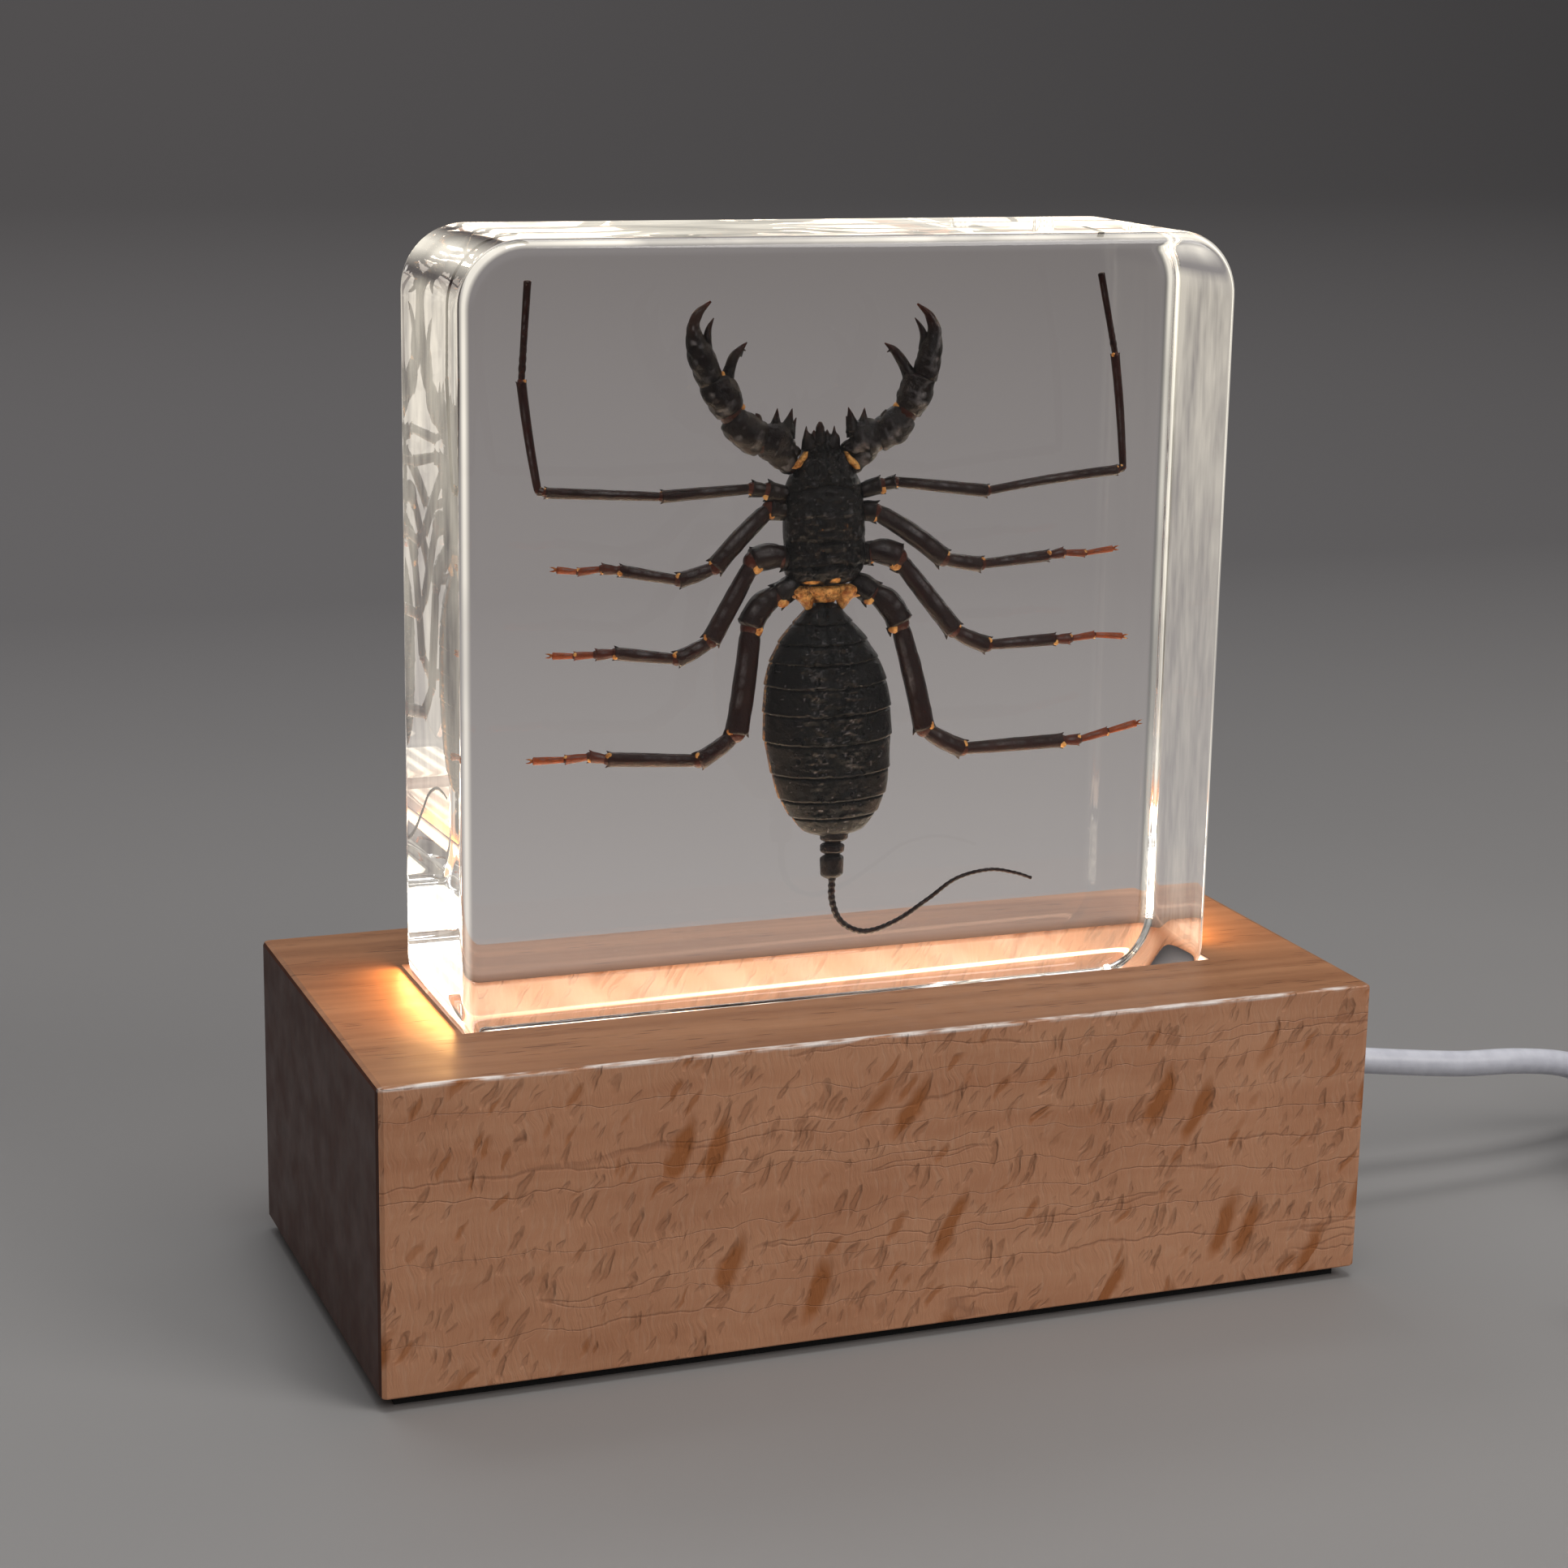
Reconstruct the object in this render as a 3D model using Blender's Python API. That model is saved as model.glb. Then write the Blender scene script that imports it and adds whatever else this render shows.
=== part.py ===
"""A whip scorpion cast in a clear resin block, which stands in a beech base lit from below.

Metres, +Z up. The base's length runs along X, its front is at -Y, and the origin is the middle of its
underside. Sizes below are in millimetres and become metres where a mesh is made.
"""

import math

import bmesh
import bpy
import numpy as np

MM = 0.001

# The gap kept between pieces that touch
GAP = 0.3

# Beech base
BASE_LENGTH = 97.5
BASE_DEPTH = 46.5
BASE_TOP = 30.0
BASE_EDGE = 0.5
PAD_THICKNESS = 0.9
PAD_INSET = 1.6

# Resin block
BLOCK_WIDTH = 75.0
BLOCK_HEIGHT = 75.0
BLOCK_THICKNESS = 21.5
BLOCK_SUNK = 4.5
CORNER_RADIUS = 6.0
RIM_RADIUS = 1.3
BLOCK_MIDDLE = BASE_TOP - BLOCK_SUNK + BLOCK_HEIGHT / 2
CORNER_STEPS = 6
RIM_STEPS = 3

# The pocket round the legs, and the deeper one round the trunk: lowest and highest corners from the
# middle of the block
LEG_POCKET = ((-31.0, -3.0, -31.0), (33.4, 3.0, 34.4))
TRUNK_POCKET = ((-9.0, -4.6, -20.5), (8.0, 4.6, 22.0))

# Light channel under the block
CHANNEL_LENGTH = 66.0
CHANNEL_DEPTH = 9.0
CHANNEL_DROP = 4.2
BOARD_LENGTH = 64.0
BOARD_WIDTH = 8.0
BOARD_THICKNESS = 1.2
LED_COUNT = 8
LED_PITCH = 8.0
LED_LENGTH = 3.5
LED_WIDTH = 2.8
LED_THICKNESS = 0.8

# Supply cord
CORD = 2.8
CORD_HEIGHT = 13.8
BORE = 4.6
BORE_REACH = 20.0
RELIEF_IN = 8.0
RELIEF_OUT = 7.0
RELIEF_ROOT = 4.0
RELIEF_TIP = 3.4

# Coil of spare cord: middle of the ring, mean radius, turns beside and above each other
COIL_X = 111.0
COIL_Y = -18.5
COIL_RADIUS = 16.8
COIL_PITCH = 2.85
COIL_TURNS = 13.347
COIL_LAYERS = 4

# Plug
PLUG_LENGTH = 21.0
PLUG_WIDTH = 15.0
PLUG_THICKNESS = 8.0
PLUG_X = 107.6
PLUG_Y = -50.8
SHELL_LENGTH = 18.5
SHELL_WIDTH = 12.0
SHELL_THICKNESS = 4.5

# The cord's route from the relief towards the coil, and from the coil to the plug
LEAD_ROUTE = (
    (56.1, 0.0, 13.8),
    (61.0, 0.0, 13.6),
    (68.0, 0.0, 12.6),
    (75.0, 0.1, 11.7),
    (82.0, 0.6, 11.1),
    (89.0, 1.9, 9.6),
    (94.3, 3.9, 7.0),
    (99.6, 5.2, 4.4),
    (104.4, 5.6, 2.6),
)
TAIL_ROUTE = (
    (131.1, -33.9, 9.4),
    (128.3, -39.5, 8.4),
    (124.0, -44.8, 6.9),
    (118.2, -48.7, 5.2),
    (112.7, -50.4, 4.2),
    (107.9, -50.8, 4.0),
)

# Walking legs and feelers, seen from the front. Each starts inside the prosoma, at x and z from the
# middle of the block, and runs on through segments: length, heading in degrees from +X, width, and the
# rise towards the viewer over the segment.
LEGS = {
    "left_feeler": ((-3.6, 13.2), (
        (1.4, 163, 1.5, 0.3), (2.7, 163, 1.2, 0.4), (0.9, 186, 1.0, 0.1), (8.5, 182, 1.15, 0.3),
        (11.0, 177, 0.85, -0.6), (0.6, 150, 0.7, -0.1), (11.0, 99, 0.7, -0.4), (7.7, 86, 0.5, -0.2),
    )),
    "right_feeler": ((1.2, 13.0), (
        (1.3, 21, 1.5, 0.3), (2.3, 21, 1.2, 0.4), (1.7, 358, 1.0, 0.1), (9.1, 354, 1.15, 0.3),
        (13.2, 5, 0.85, -0.6), (0.6, 40, 0.7, -0.1), (11.0, 96, 0.7, -0.4), (7.4, 99, 0.5, -0.2),
    )),
    "left_second": ((-3.8, 12.4), (
        (1.7, 186, 1.7, 0.2), (1.3, 194, 1.7, 0.3), (6.4, 228, 1.75, 0.7), (1.0, 213, 1.25, 0.0),
        (3.2, 188, 1.4, -0.2), (6.0, 168, 1.0, -0.5), (1.7, 172, 0.8, -0.1), (2.2, 187, 0.6, -0.2),
        (2.0, 171, 0.55, -0.1),
    )),
    "right_second": ((1.6, 11.7), (
        (1.5, 0, 1.7, 0.2), (1.3, 356, 1.7, 0.3), (8.0, 326, 1.75, 0.7), (0.9, 320, 1.25, 0.0),
        (3.4, 355, 1.45, -0.2), (6.8, 3, 1.0, -0.5), (1.6, 12, 0.8, -0.1), (2.4, 354, 0.6, -0.2),
        (2.8, 7, 0.5, -0.1),
    )),
    "left_third": ((-3.4, 8.6), (
        (1.6, 188, 2.2, 0.2), (2.0, 190, 2.9, 0.3), (1.1, 232, 2.2, 0.1), (7.6, 237, 1.85, 0.8),
        (0.9, 223, 1.3, 0.0), (3.0, 205, 1.4, -0.2), (6.1, 173, 1.0, -0.6), (1.9, 181, 0.8, -0.1),
        (2.0, 179, 0.65, -0.2), (2.2, 177, 0.55, -0.1),
    )),
    "right_third": ((1.6, 8.2), (
        (1.6, 352, 2.2, 0.2), (1.7, 352, 2.6, 0.3), (2.1, 331, 2.1, 0.1), (8.3, 311, 1.8, 0.8),
        (0.6, 326, 1.3, 0.0), (3.7, 336, 1.6, -0.2), (6.8, 359, 1.05, -0.6), (1.6, 0, 0.85, -0.1),
        (2.7, 7, 0.65, -0.2), (2.9, 352, 0.55, -0.1),
    )),
    "left_fourth": ((-2.8, 5.9), (
        (1.6, 218, 2.6, 0.2), (0.9, 220, 2.4, 0.2), (4.0, 225, 2.6, 0.5), (0.6, 243, 1.7, 0.1),
        (9.8, 264, 1.95, 0.6), (4.2, 217, 1.7, -0.2), (9.5, 175, 1.25, -0.9), (2.0, 169, 0.95, -0.1),
        (2.3, 184, 0.75, -0.2), (3.1, 180, 0.55, -0.1),
    )),
    "right_fourth": ((1.2, 5.7), (
        (1.7, 322, 2.6, 0.2), (1.1, 318, 2.4, 0.2), (4.1, 314, 2.6, 0.5), (0.6, 298, 1.7, 0.1),
        (10.2, 286, 1.95, 0.6), (5.0, 331, 1.7, -0.2), (10.1, 0, 1.2, -0.9), (1.9, 356, 0.9, -0.1),
        (3.3, 12, 0.7, -0.2), (3.1, 10, 0.55, -0.1),
    )),
}
LEG_SIDES = 6

# Pincers and their spines: points x, z and the width there, from the root outwards
PINCERS = {
    "left_pincer": (
        (-2.2, 16.4, 2.6), (-4.3, 17.7, 3.7), (-5.6, 18.5, 3.7), (-6.5, 18.9, 2.7), (-7.6, 19.4, 3.1),
        (-9.2, 20.5, 3.1), (-10.0, 21.4, 2.2), (-10.9, 22.6, 3.1), (-11.5, 24.0, 3.1), (-11.8, 24.9, 2.3),
        (-12.7, 26.2, 2.6), (-13.3, 28.0, 2.2), (-13.7, 29.4, 1.3), (-13.3, 30.5, 0.9), (-12.4, 31.5, 0.25),
    ),
    "left_thumb": ((-12.7, 27.2, 1.0), (-12.8, 28.4, 0.9), (-12.5, 29.3, 0.5), (-12.1, 29.9, 0.2)),
    "left_prong": ((-11.2, 24.6, 1.2), (-10.4, 25.9, 1.1), (-9.6, 27.0, 0.8), (-8.9, 27.7, 0.25)),
    "right_pincer": (
        (0.2, 16.4, 2.6), (2.0, 17.5, 3.7), (3.2, 18.4, 3.6), (3.9, 18.9, 2.7), (4.9, 19.4, 3.1),
        (6.3, 20.3, 3.1), (7.1, 21.3, 2.2), (7.8, 22.6, 3.1), (8.0, 24.0, 3.1), (8.3, 24.9, 2.3),
        (9.0, 26.1, 2.5), (9.5, 27.7, 2.1), (9.4, 29.1, 1.3), (8.8, 30.1, 0.8), (7.9, 30.9, 0.25),
    ),
    "right_thumb": ((8.9, 27.0, 1.0), (8.8, 28.1, 0.9), (8.2, 29.0, 0.5), (7.6, 29.6, 0.2)),
    "right_prong": ((7.6, 24.5, 1.2), (6.6, 25.6, 1.1), (5.5, 26.6, 0.8), (4.6, 27.3, 0.25)),
    "left_spine_outer": ((-5.9, 19.0, 1.3), (-5.9, 20.6, 0.8), (-5.8, 21.6, 0.2)),
    "left_spine_inner": ((-4.7, 18.6, 1.3), (-4.5, 20.5, 0.8), (-4.4, 21.5, 0.2)),
    "right_spine_inner": ((1.8, 18.4, 1.3), (1.4, 20.5, 0.8), (1.2, 21.5, 0.2)),
    "right_spine_outer": ((3.0, 18.6, 1.3), (2.9, 20.4, 0.8), (2.8, 21.4, 0.2)),
    "left_jaw": ((-1.7, 16.8, 1.5), (-1.7, 19.2, 1.3), (-1.7, 20.2, 0.4)),
    "right_jaw": ((-0.3, 16.8, 1.5), (-0.3, 19.2, 1.3), (-0.3, 20.1, 0.4)),
}
PINCER_SIDES = 8

# The trunk from front to rear: height on the block, middle x, half width, half thickness
PROSOMA = (
    (18.9, -1.2, 1.1, 0.9), (18.2, -1.2, 1.9, 1.3), (16.3, -0.9, 2.6, 1.8), (14.8, -1.0, 3.2, 2.1),
    (13.4, -1.1, 3.7, 2.3), (11.0, -1.1, 3.9, 2.5), (9.0, -1.0, 4.05, 2.5), (6.7, -0.9, 3.95, 2.3),
    (5.6, -0.9, 3.4, 2.1), (4.8, -0.9, 2.9, 1.7), (3.8, -0.8, 2.5, 1.4), (2.2, -0.7, 2.0, 1.3),
)
ABDOMEN = (
    (3.3, -0.6, 1.4, 1.0), (1.4, -0.6, 3.2, 2.0), (-0.4, -0.5, 4.85, 2.6), (-4.1, -0.35, 6.1, 3.0),
    (-7.4, -0.2, 6.4, 3.1), (-12.3, -0.15, 5.75, 2.9), (-15.7, 0.0, 4.5, 2.5), (-17.6, 0.4, 2.9, 1.9),
    (-18.8, 0.6, 1.3, 1.2),
)
PLATE_EDGES = (3.3, 1.3, -0.6, -2.5, -4.8, -7.4, -10.2, -13.3, -15.7, -17.4, -18.8)
GROOVE = 0.955
TRUNK_SIDES = 16
TAIL_RINGS = (
    (-18.0, 0.6, 1.3, 1.1), (-19.0, 0.6, 1.35, 1.15), (-19.9, 0.6, 1.0, 0.9), (-20.1, 0.5, 1.15, 1.0),
    (-20.9, 0.45, 1.0, 0.9), (-21.2, 0.45, 0.8, 0.75), (-22.0, 0.4, 1.05, 0.95), (-23.0, 0.45, 0.9, 0.85),
    (-23.5, 0.5, 0.45, 0.45),
)
WHIP_ROUTE = (
    (0.5, -23.0), (0.55, -25.8), (1.6, -28.0), (4.0, -29.1), (7.2, -28.3), (10.5, -26.4), (13.4, -24.6),
    (16.8, -24.0), (19.5, -24.5), (21.4, -25.2),
)
WHIP_ROOT = 0.6
WHIP_TIP = 0.3

# Share of a segment's width left at its joints, and how far from a joint it is full, in widths
JOINT_WIDTH = 0.68
SHOULDER = 0.55
LIMB_FLATNESS = 0.85


def clear_scene():
    for obj in list(bpy.data.objects):
        bpy.data.objects.remove(obj, do_unlink=True)


def make_material(name, color, roughness, metallic=0.0, transmission=0.0, glow=0.0):
    material = bpy.data.materials.new(name)
    material.use_nodes = True
    shader = material.node_tree.nodes["Principled BSDF"]
    shader.inputs["Base Color"].default_value = (*color, 1.0)
    shader.inputs["Roughness"].default_value = roughness
    shader.inputs["Metallic"].default_value = metallic
    shader.inputs["Transmission Weight"].default_value = transmission
    shader.inputs["Emission Color"].default_value = (*color, 1.0)
    shader.inputs["Emission Strength"].default_value = glow
    material.diffuse_color = (*color, 1.0)
    return material


def mesh_object(name, points, faces, material=None, middle=(0.0, 0.0, 0.0)):
    """An object at its middle, in millimetres, from points given around that middle."""
    mesh = bpy.data.meshes.new(name)
    mesh.from_pydata((np.asarray(points, float) * MM).tolist(), [], [tuple(face) for face in faces])
    shape = bmesh.new()
    shape.from_mesh(mesh)
    bmesh.ops.triangulate(shape, faces=shape.faces[:])
    bmesh.ops.recalc_face_normals(shape, faces=shape.faces[:])
    shape.to_mesh(mesh)
    shape.free()
    mesh.shade_smooth()
    mesh.set_sharp_from_angle(angle=math.radians(35))
    obj = bpy.data.objects.new(name, mesh)
    obj.location = [c * MM for c in middle]
    bpy.context.scene.collection.objects.link(obj)
    if material:
        mesh.materials.append(material)
    return obj


def loft(name, rings, material=None, middle=(0.0, 0.0, 0.0)):
    """A closed skin through rings of equal point count, with a flat cap on each end."""
    rings = np.asarray(rings, float)
    count, around = rings.shape[:2]
    faces = []
    for first in range(0, (count - 1) * around, around):
        for j in range(around):
            beside = (j + 1) % around
            faces.append((first + j, first + beside, first + around + beside, first + around + j))
    faces.append(range(around))
    faces.append(range((count - 1) * around, count * around))
    return mesh_object(name, rings.reshape(-1, 3), faces, material, middle)


def box(name, size, middle, material=None):
    half = np.array(size) / 2
    corners = [(sx, sy, sz) for sz in (-1, 1) for sx, sy in ((-1, -1), (1, -1), (1, 1), (-1, 1))]
    return loft(name, (np.array(corners) * half).reshape(2, 4, 3), material, middle)


def box_between(name, low, high, material=None):
    low = np.array(low, float)
    high = np.array(high, float)
    return box(name, high - low, (low + high) / 2, material)


def bevel(obj, width, segments=2):
    modifier = obj.modifiers.new("edges", "BEVEL")
    modifier.width = width * MM
    modifier.segments = segments
    modifier.limit_method = "ANGLE"
    modifier.angle_limit = math.radians(40)


def boolean(obj, operation, other):
    """Cuts or joins with a hidden helper, which is an object or a whole collection of them."""
    modifier = obj.modifiers.new(operation.lower(), "BOOLEAN")
    modifier.operation = operation
    modifier.solver = "EXACT"
    if isinstance(other, bpy.types.Collection):
        modifier.operand_type = "COLLECTION"
        modifier.collection = other
        helpers = list(other.objects)
    else:
        modifier.object = other
        helpers = [other]
    for helper in helpers:
        helper.hide_render = True
        helper.display_type = "WIRE"


def disc(name, radius, start, end, sides=20):
    """A round bar between two points on one axis, X or Z."""
    start = np.array(start, float)
    end = np.array(end, float)
    angle = np.arange(sides) * math.tau / sides
    flat = np.stack([np.cos(angle), np.sin(angle)], axis=1) * radius
    along_x = abs(end - start)[0] > 0
    ring = np.insert(flat, 0 if along_x else 2, 0.0, axis=1)
    return loft(name, [ring + start, ring + end])


def smooth_through(points, per_span):
    """A Catmull-Rom curve through the points, with the same number of steps in each span."""
    points = np.asarray(points, float)
    padded = np.vstack([2 * points[0] - points[1], points, 2 * points[-1] - points[-2]])
    curve = []
    for a, b, c, d in zip(padded, padded[1:], padded[2:], padded[3:]):
        for step in range(per_span):
            t = step / per_span
            square = (2 * a - 5 * b + 4 * c - d) * t**2
            cube = (3 * b - a - 3 * c + d) * t**3
            curve.append((2 * b + (c - a) * t + square + cube) / 2)
    curve.append(points[-1])
    return np.array(curve)


# Resin block


def block_outline(inset):
    """The block's outline in X and Z, a square with round corners, drawn in by the inset."""
    radius = CORNER_RADIUS - inset
    reach_x = BLOCK_WIDTH / 2 - CORNER_RADIUS
    reach_z = BLOCK_HEIGHT / 2 - CORNER_RADIUS
    outline = []
    for quarter, (sx, sz) in enumerate(((1, 1), (-1, 1), (-1, -1), (1, -1))):
        for step in range(CORNER_STEPS + 1):
            angle = (quarter + step / CORNER_STEPS) * math.pi / 2
            outline.append((sx * reach_x + radius * math.cos(angle), sz * reach_z + radius * math.sin(angle)))
    return outline


def resin_half(name, side, material):
    """One half of the casting: side -1 is the front. Its outer rim is rounded and its inner face is flat."""
    rings = []
    layers = [(GAP / 2, 0.0)]
    for step in range(RIM_STEPS + 1):
        angle = step / RIM_STEPS * math.pi / 2
        depth = BLOCK_THICKNESS / 2 - RIM_RADIUS * (1 - math.sin(angle))
        layers.append((depth, RIM_RADIUS * (1 - math.cos(angle))))
    for depth, inset in layers:
        rings.append([(x, side * depth, z) for x, z in block_outline(inset)])
    half = loft(name, rings, material, (0.0, 0.0, BLOCK_MIDDLE))
    for pocket, (low, high) in enumerate((LEG_POCKET, TRUNK_POCKET)):
        lift = np.array((0.0, 0.0, BLOCK_MIDDLE))
        cutter = box_between(f"{name}_pocket_{pocket}", lift + low, lift + high)
        boolean(half, "DIFFERENCE", cutter)
    return half


# Specimen


def flat_ring(middle, tangent, half_width, half_thickness, sides):
    """An ellipse square to the tangent. Its width lies in the X-Z plane and its thickness along Y."""
    tangent = tangent / np.linalg.norm(tangent)
    up = np.array((0.0, 1.0, 0.0)) - tangent[1] * tangent
    up /= np.linalg.norm(up)
    side = np.cross(tangent, up)
    angle = (np.arange(sides) + 0.5)[:, None] * math.tau / sides
    return middle + half_width * np.cos(angle) * side + half_thickness * np.sin(angle) * up


def limb_along(name, points, widths, sides):
    """A closed limb through points in space, as wide as the widths say."""
    points = np.asarray(points, float)
    steps = np.diff(points, axis=0)
    steps /= np.linalg.norm(steps, axis=1)[:, None]
    tangents = np.vstack([steps[0], steps[:-1] + steps[1:], steps[-1]])
    rings = [
        flat_ring(point, tangent, width / 2, LIMB_FLATNESS * width / 2, sides)
        for point, tangent, width in zip(points, tangents, widths)
    ]
    return loft(name, rings, None, (0.0, 0.0, BLOCK_MIDDLE))


def leg(name, start, segments):
    """A leg of segments that are full between their shoulders and narrow at each joint."""
    at = np.array((start[0], 0.0, start[1]))
    points = [at]
    widths = [segments[0][2] * JOINT_WIDTH]
    for length, heading, width, rise in segments:
        turn = math.radians(heading)
        end = at + np.array((length * math.cos(turn), -rise, length * math.sin(turn)))
        shoulder = min(SHOULDER * width / length, 0.3)
        points += [at + (end - at) * shoulder, end - (end - at) * shoulder, end]
        widths += [width, 0.94 * width, JOINT_WIDTH * width]
        at = end
    return limb_along(name, points, widths, LEG_SIDES)


def pincer(name, stations):
    points = [(x, 0.0, z) for x, z, _ in stations]
    return limb_along(name, points, [width for _, _, width in stations], PINCER_SIDES)


def trunk_ring(z, middle, half_width, half_thickness, sides):
    return flat_ring(np.array((middle, 0.0, z)), np.array((0.0, 0.0, 1.0)), half_width, half_thickness, sides)


def trunk(name, stations, sides=TRUNK_SIDES):
    return loft(name, [trunk_ring(*station, sides) for station in stations], None, (0.0, 0.0, BLOCK_MIDDLE))


def abdomen():
    """Overlapping plates: the outline is full in the middle of each plate and draws in at its edges."""
    outline = np.array(ABDOMEN)[::-1]
    stations = []
    for front, rear in zip(PLATE_EDGES, PLATE_EDGES[1:]):
        for share, factor in ((0.0, GROOVE), (0.18, 1.0), (0.8, 1.01)):
            z = front + (rear - front) * share
            middle, width, thickness = (np.interp(z, outline[:, 0], outline[:, k]) for k in (1, 2, 3))
            stations.append((z, middle, width * factor, thickness * factor))
    stations.append(ABDOMEN[-1])
    return trunk("abdomen", stations)


def whip():
    route = smooth_through([(x, 0.0, z) for x, z in WHIP_ROUTE], 3)
    widths = np.linspace(WHIP_ROOT, WHIP_TIP, len(route))
    return limb_along("whip", route, widths, 5)


def whip_scorpion(material):
    """The whole specimen: its limbs, abdomen, tail and whip are joined to the prosoma."""
    body = trunk("whip_scorpion", PROSOMA)
    body.data.materials.append(material)
    limbs = bpy.data.collections.new("specimen_limbs")
    bpy.context.scene.collection.children.link(limbs)
    pieces = [leg(name, start, segments) for name, (start, segments) in LEGS.items()]
    pieces += [pincer(name, stations) for name, stations in PINCERS.items()]
    pieces += [abdomen(), trunk("tail_rings", TAIL_RINGS, 10), whip()]
    for piece in pieces:
        bpy.context.scene.collection.objects.unlink(piece)
        limbs.objects.link(piece)
    boolean(body, "UNION", limbs)
    return body


# Base and its light


def base_body(material):
    """The beech block, with the seat for the resin, the light channel under it and the cord's bore."""
    foot = PAD_THICKNESS + GAP
    half = (BASE_LENGTH / 2, BASE_DEPTH / 2)
    body = box_between("base_body", (-half[0], -half[1], foot), (half[0], half[1], BASE_TOP), material)
    bevel(body, BASE_EDGE)
    seat_floor = BASE_TOP - BLOCK_SUNK - GAP
    channel_floor = seat_floor - CHANNEL_DROP
    above = BASE_TOP + 5.0
    seat = (BLOCK_WIDTH / 2 + GAP, BLOCK_THICKNESS / 2 + GAP)
    boolean(body, "DIFFERENCE", box_between("seat_cut", (-seat[0], -seat[1], seat_floor), (*seat, above)))
    channel = (CHANNEL_LENGTH / 2, CHANNEL_DEPTH / 2)
    channel_low = (-channel[0], -channel[1], channel_floor)
    boolean(body, "DIFFERENCE", box_between("channel_cut", channel_low, (*channel, above)))
    inner = half[0] - BORE_REACH
    bore = disc("bore_cut", BORE / 2, (inner, 0.0, CORD_HEIGHT), (half[0] + 5.0, 0.0, CORD_HEIGHT))
    boolean(body, "DIFFERENCE", bore)
    riser_x = inner + BORE / 2
    riser = disc("riser_cut", BORE / 2 - GAP, (riser_x, 0.0, CORD_HEIGHT), (riser_x, 0.0, above))
    boolean(body, "DIFFERENCE", riser)
    return body


def base_pad(material):
    size = (BASE_LENGTH - 2 * PAD_INSET, BASE_DEPTH - 2 * PAD_INSET, PAD_THICKNESS)
    return box("base_pad", size, (0.0, 0.0, PAD_THICKNESS / 2), material)


def lights(board_material, led_material):
    """The strip on the channel's floor, and its row of chips."""
    board_low = BASE_TOP - BLOCK_SUNK - GAP - CHANNEL_DROP + GAP
    board_size = (BOARD_LENGTH, BOARD_WIDTH, BOARD_THICKNESS)
    box("led_board", board_size, (0.0, 0.0, board_low + BOARD_THICKNESS / 2), board_material)
    led_middle = board_low + BOARD_THICKNESS + GAP + LED_THICKNESS / 2
    for count in range(LED_COUNT):
        x = (count - (LED_COUNT - 1) / 2) * LED_PITCH
        size = (LED_LENGTH, LED_WIDTH, LED_THICKNESS)
        box(f"led_{count + 1}", size, (x, 0.0, led_middle), led_material)


# Cord and plug


def strain_relief(material):
    """A sleeve in the base's bore that tapers towards the cord."""
    end = BASE_LENGTH / 2
    profile = ((end - RELIEF_IN, RELIEF_ROOT), (end + 0.6, RELIEF_ROOT), (end + RELIEF_OUT, RELIEF_TIP))
    angle = np.arange(16) * math.tau / 16
    rings = [
        np.stack([np.full(16, x), np.cos(angle) * width / 2, CORD_HEIGHT + np.sin(angle) * width / 2], axis=1)
        for x, width in profile
    ]
    return loft("strain_relief", rings, material)


def cord_tube(name, route, per_span, material):
    """A run of free cord along a smooth curve through its route."""
    points = smooth_through(route, per_span) * MM
    curve = bpy.data.curves.new(name, "CURVE")
    curve.dimensions = "3D"
    curve.bevel_depth = CORD / 2 * MM
    curve.bevel_resolution = 2
    curve.use_fill_caps = True
    spline = curve.splines.new("POLY")
    spline.points.add(len(points) - 1)
    spline.points.foreach_set("co", np.insert(points, 3, 1.0, axis=1).ravel())
    curve.materials.append(material)
    obj = bpy.data.objects.new(name, curve)
    bpy.context.scene.collection.objects.link(obj)
    return obj


def cord_coil(material):
    """The turned ring that the wound cord fills, turns beside and above each other."""
    spread = COIL_TURNS / COIL_LAYERS * COIL_PITCH / 2 + CORD / 2
    height = COIL_LAYERS * CORD
    ease = CORD / 3
    inner = COIL_RADIUS - spread
    outer = COIL_RADIUS + spread
    section = (
        (outer - ease, 0.0), (outer, ease), (outer, height - ease), (outer - ease, height),
        (inner + ease, height), (inner, height - ease), (inner, ease), (inner + ease, 0.0),
    )
    steps = 40
    points = []
    faces = []
    for turn in range(steps):
        angle = turn * math.tau / steps
        points += [(radius * math.cos(angle), radius * math.sin(angle), z) for radius, z in section]
        after = (turn + 1) % steps
        for k in range(len(section)):
            beside = (k + 1) % len(section)
            first = turn * len(section)
            second = after * len(section)
            faces.append((first + k, second + k, second + beside, first + beside))
    return mesh_object("cord_coil", points, faces, material, (COIL_X, COIL_Y, 0.0))


def plug(grip_material, shell_material):
    """The moulded grip and the metal shell, lying flat and pointing to -X."""
    middle = (PLUG_X - PLUG_LENGTH / 2, PLUG_Y, PLUG_THICKNESS / 2)
    grip = box("plug_body", (PLUG_LENGTH, PLUG_WIDTH, PLUG_THICKNESS), middle, grip_material)
    bevel(grip, 1.2)
    shell_middle = (PLUG_X - PLUG_LENGTH - GAP - SHELL_LENGTH / 2, PLUG_Y, PLUG_THICKNESS / 2)
    box("plug_shell", (SHELL_LENGTH, SHELL_WIDTH, SHELL_THICKNESS), shell_middle, shell_material)


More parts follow.
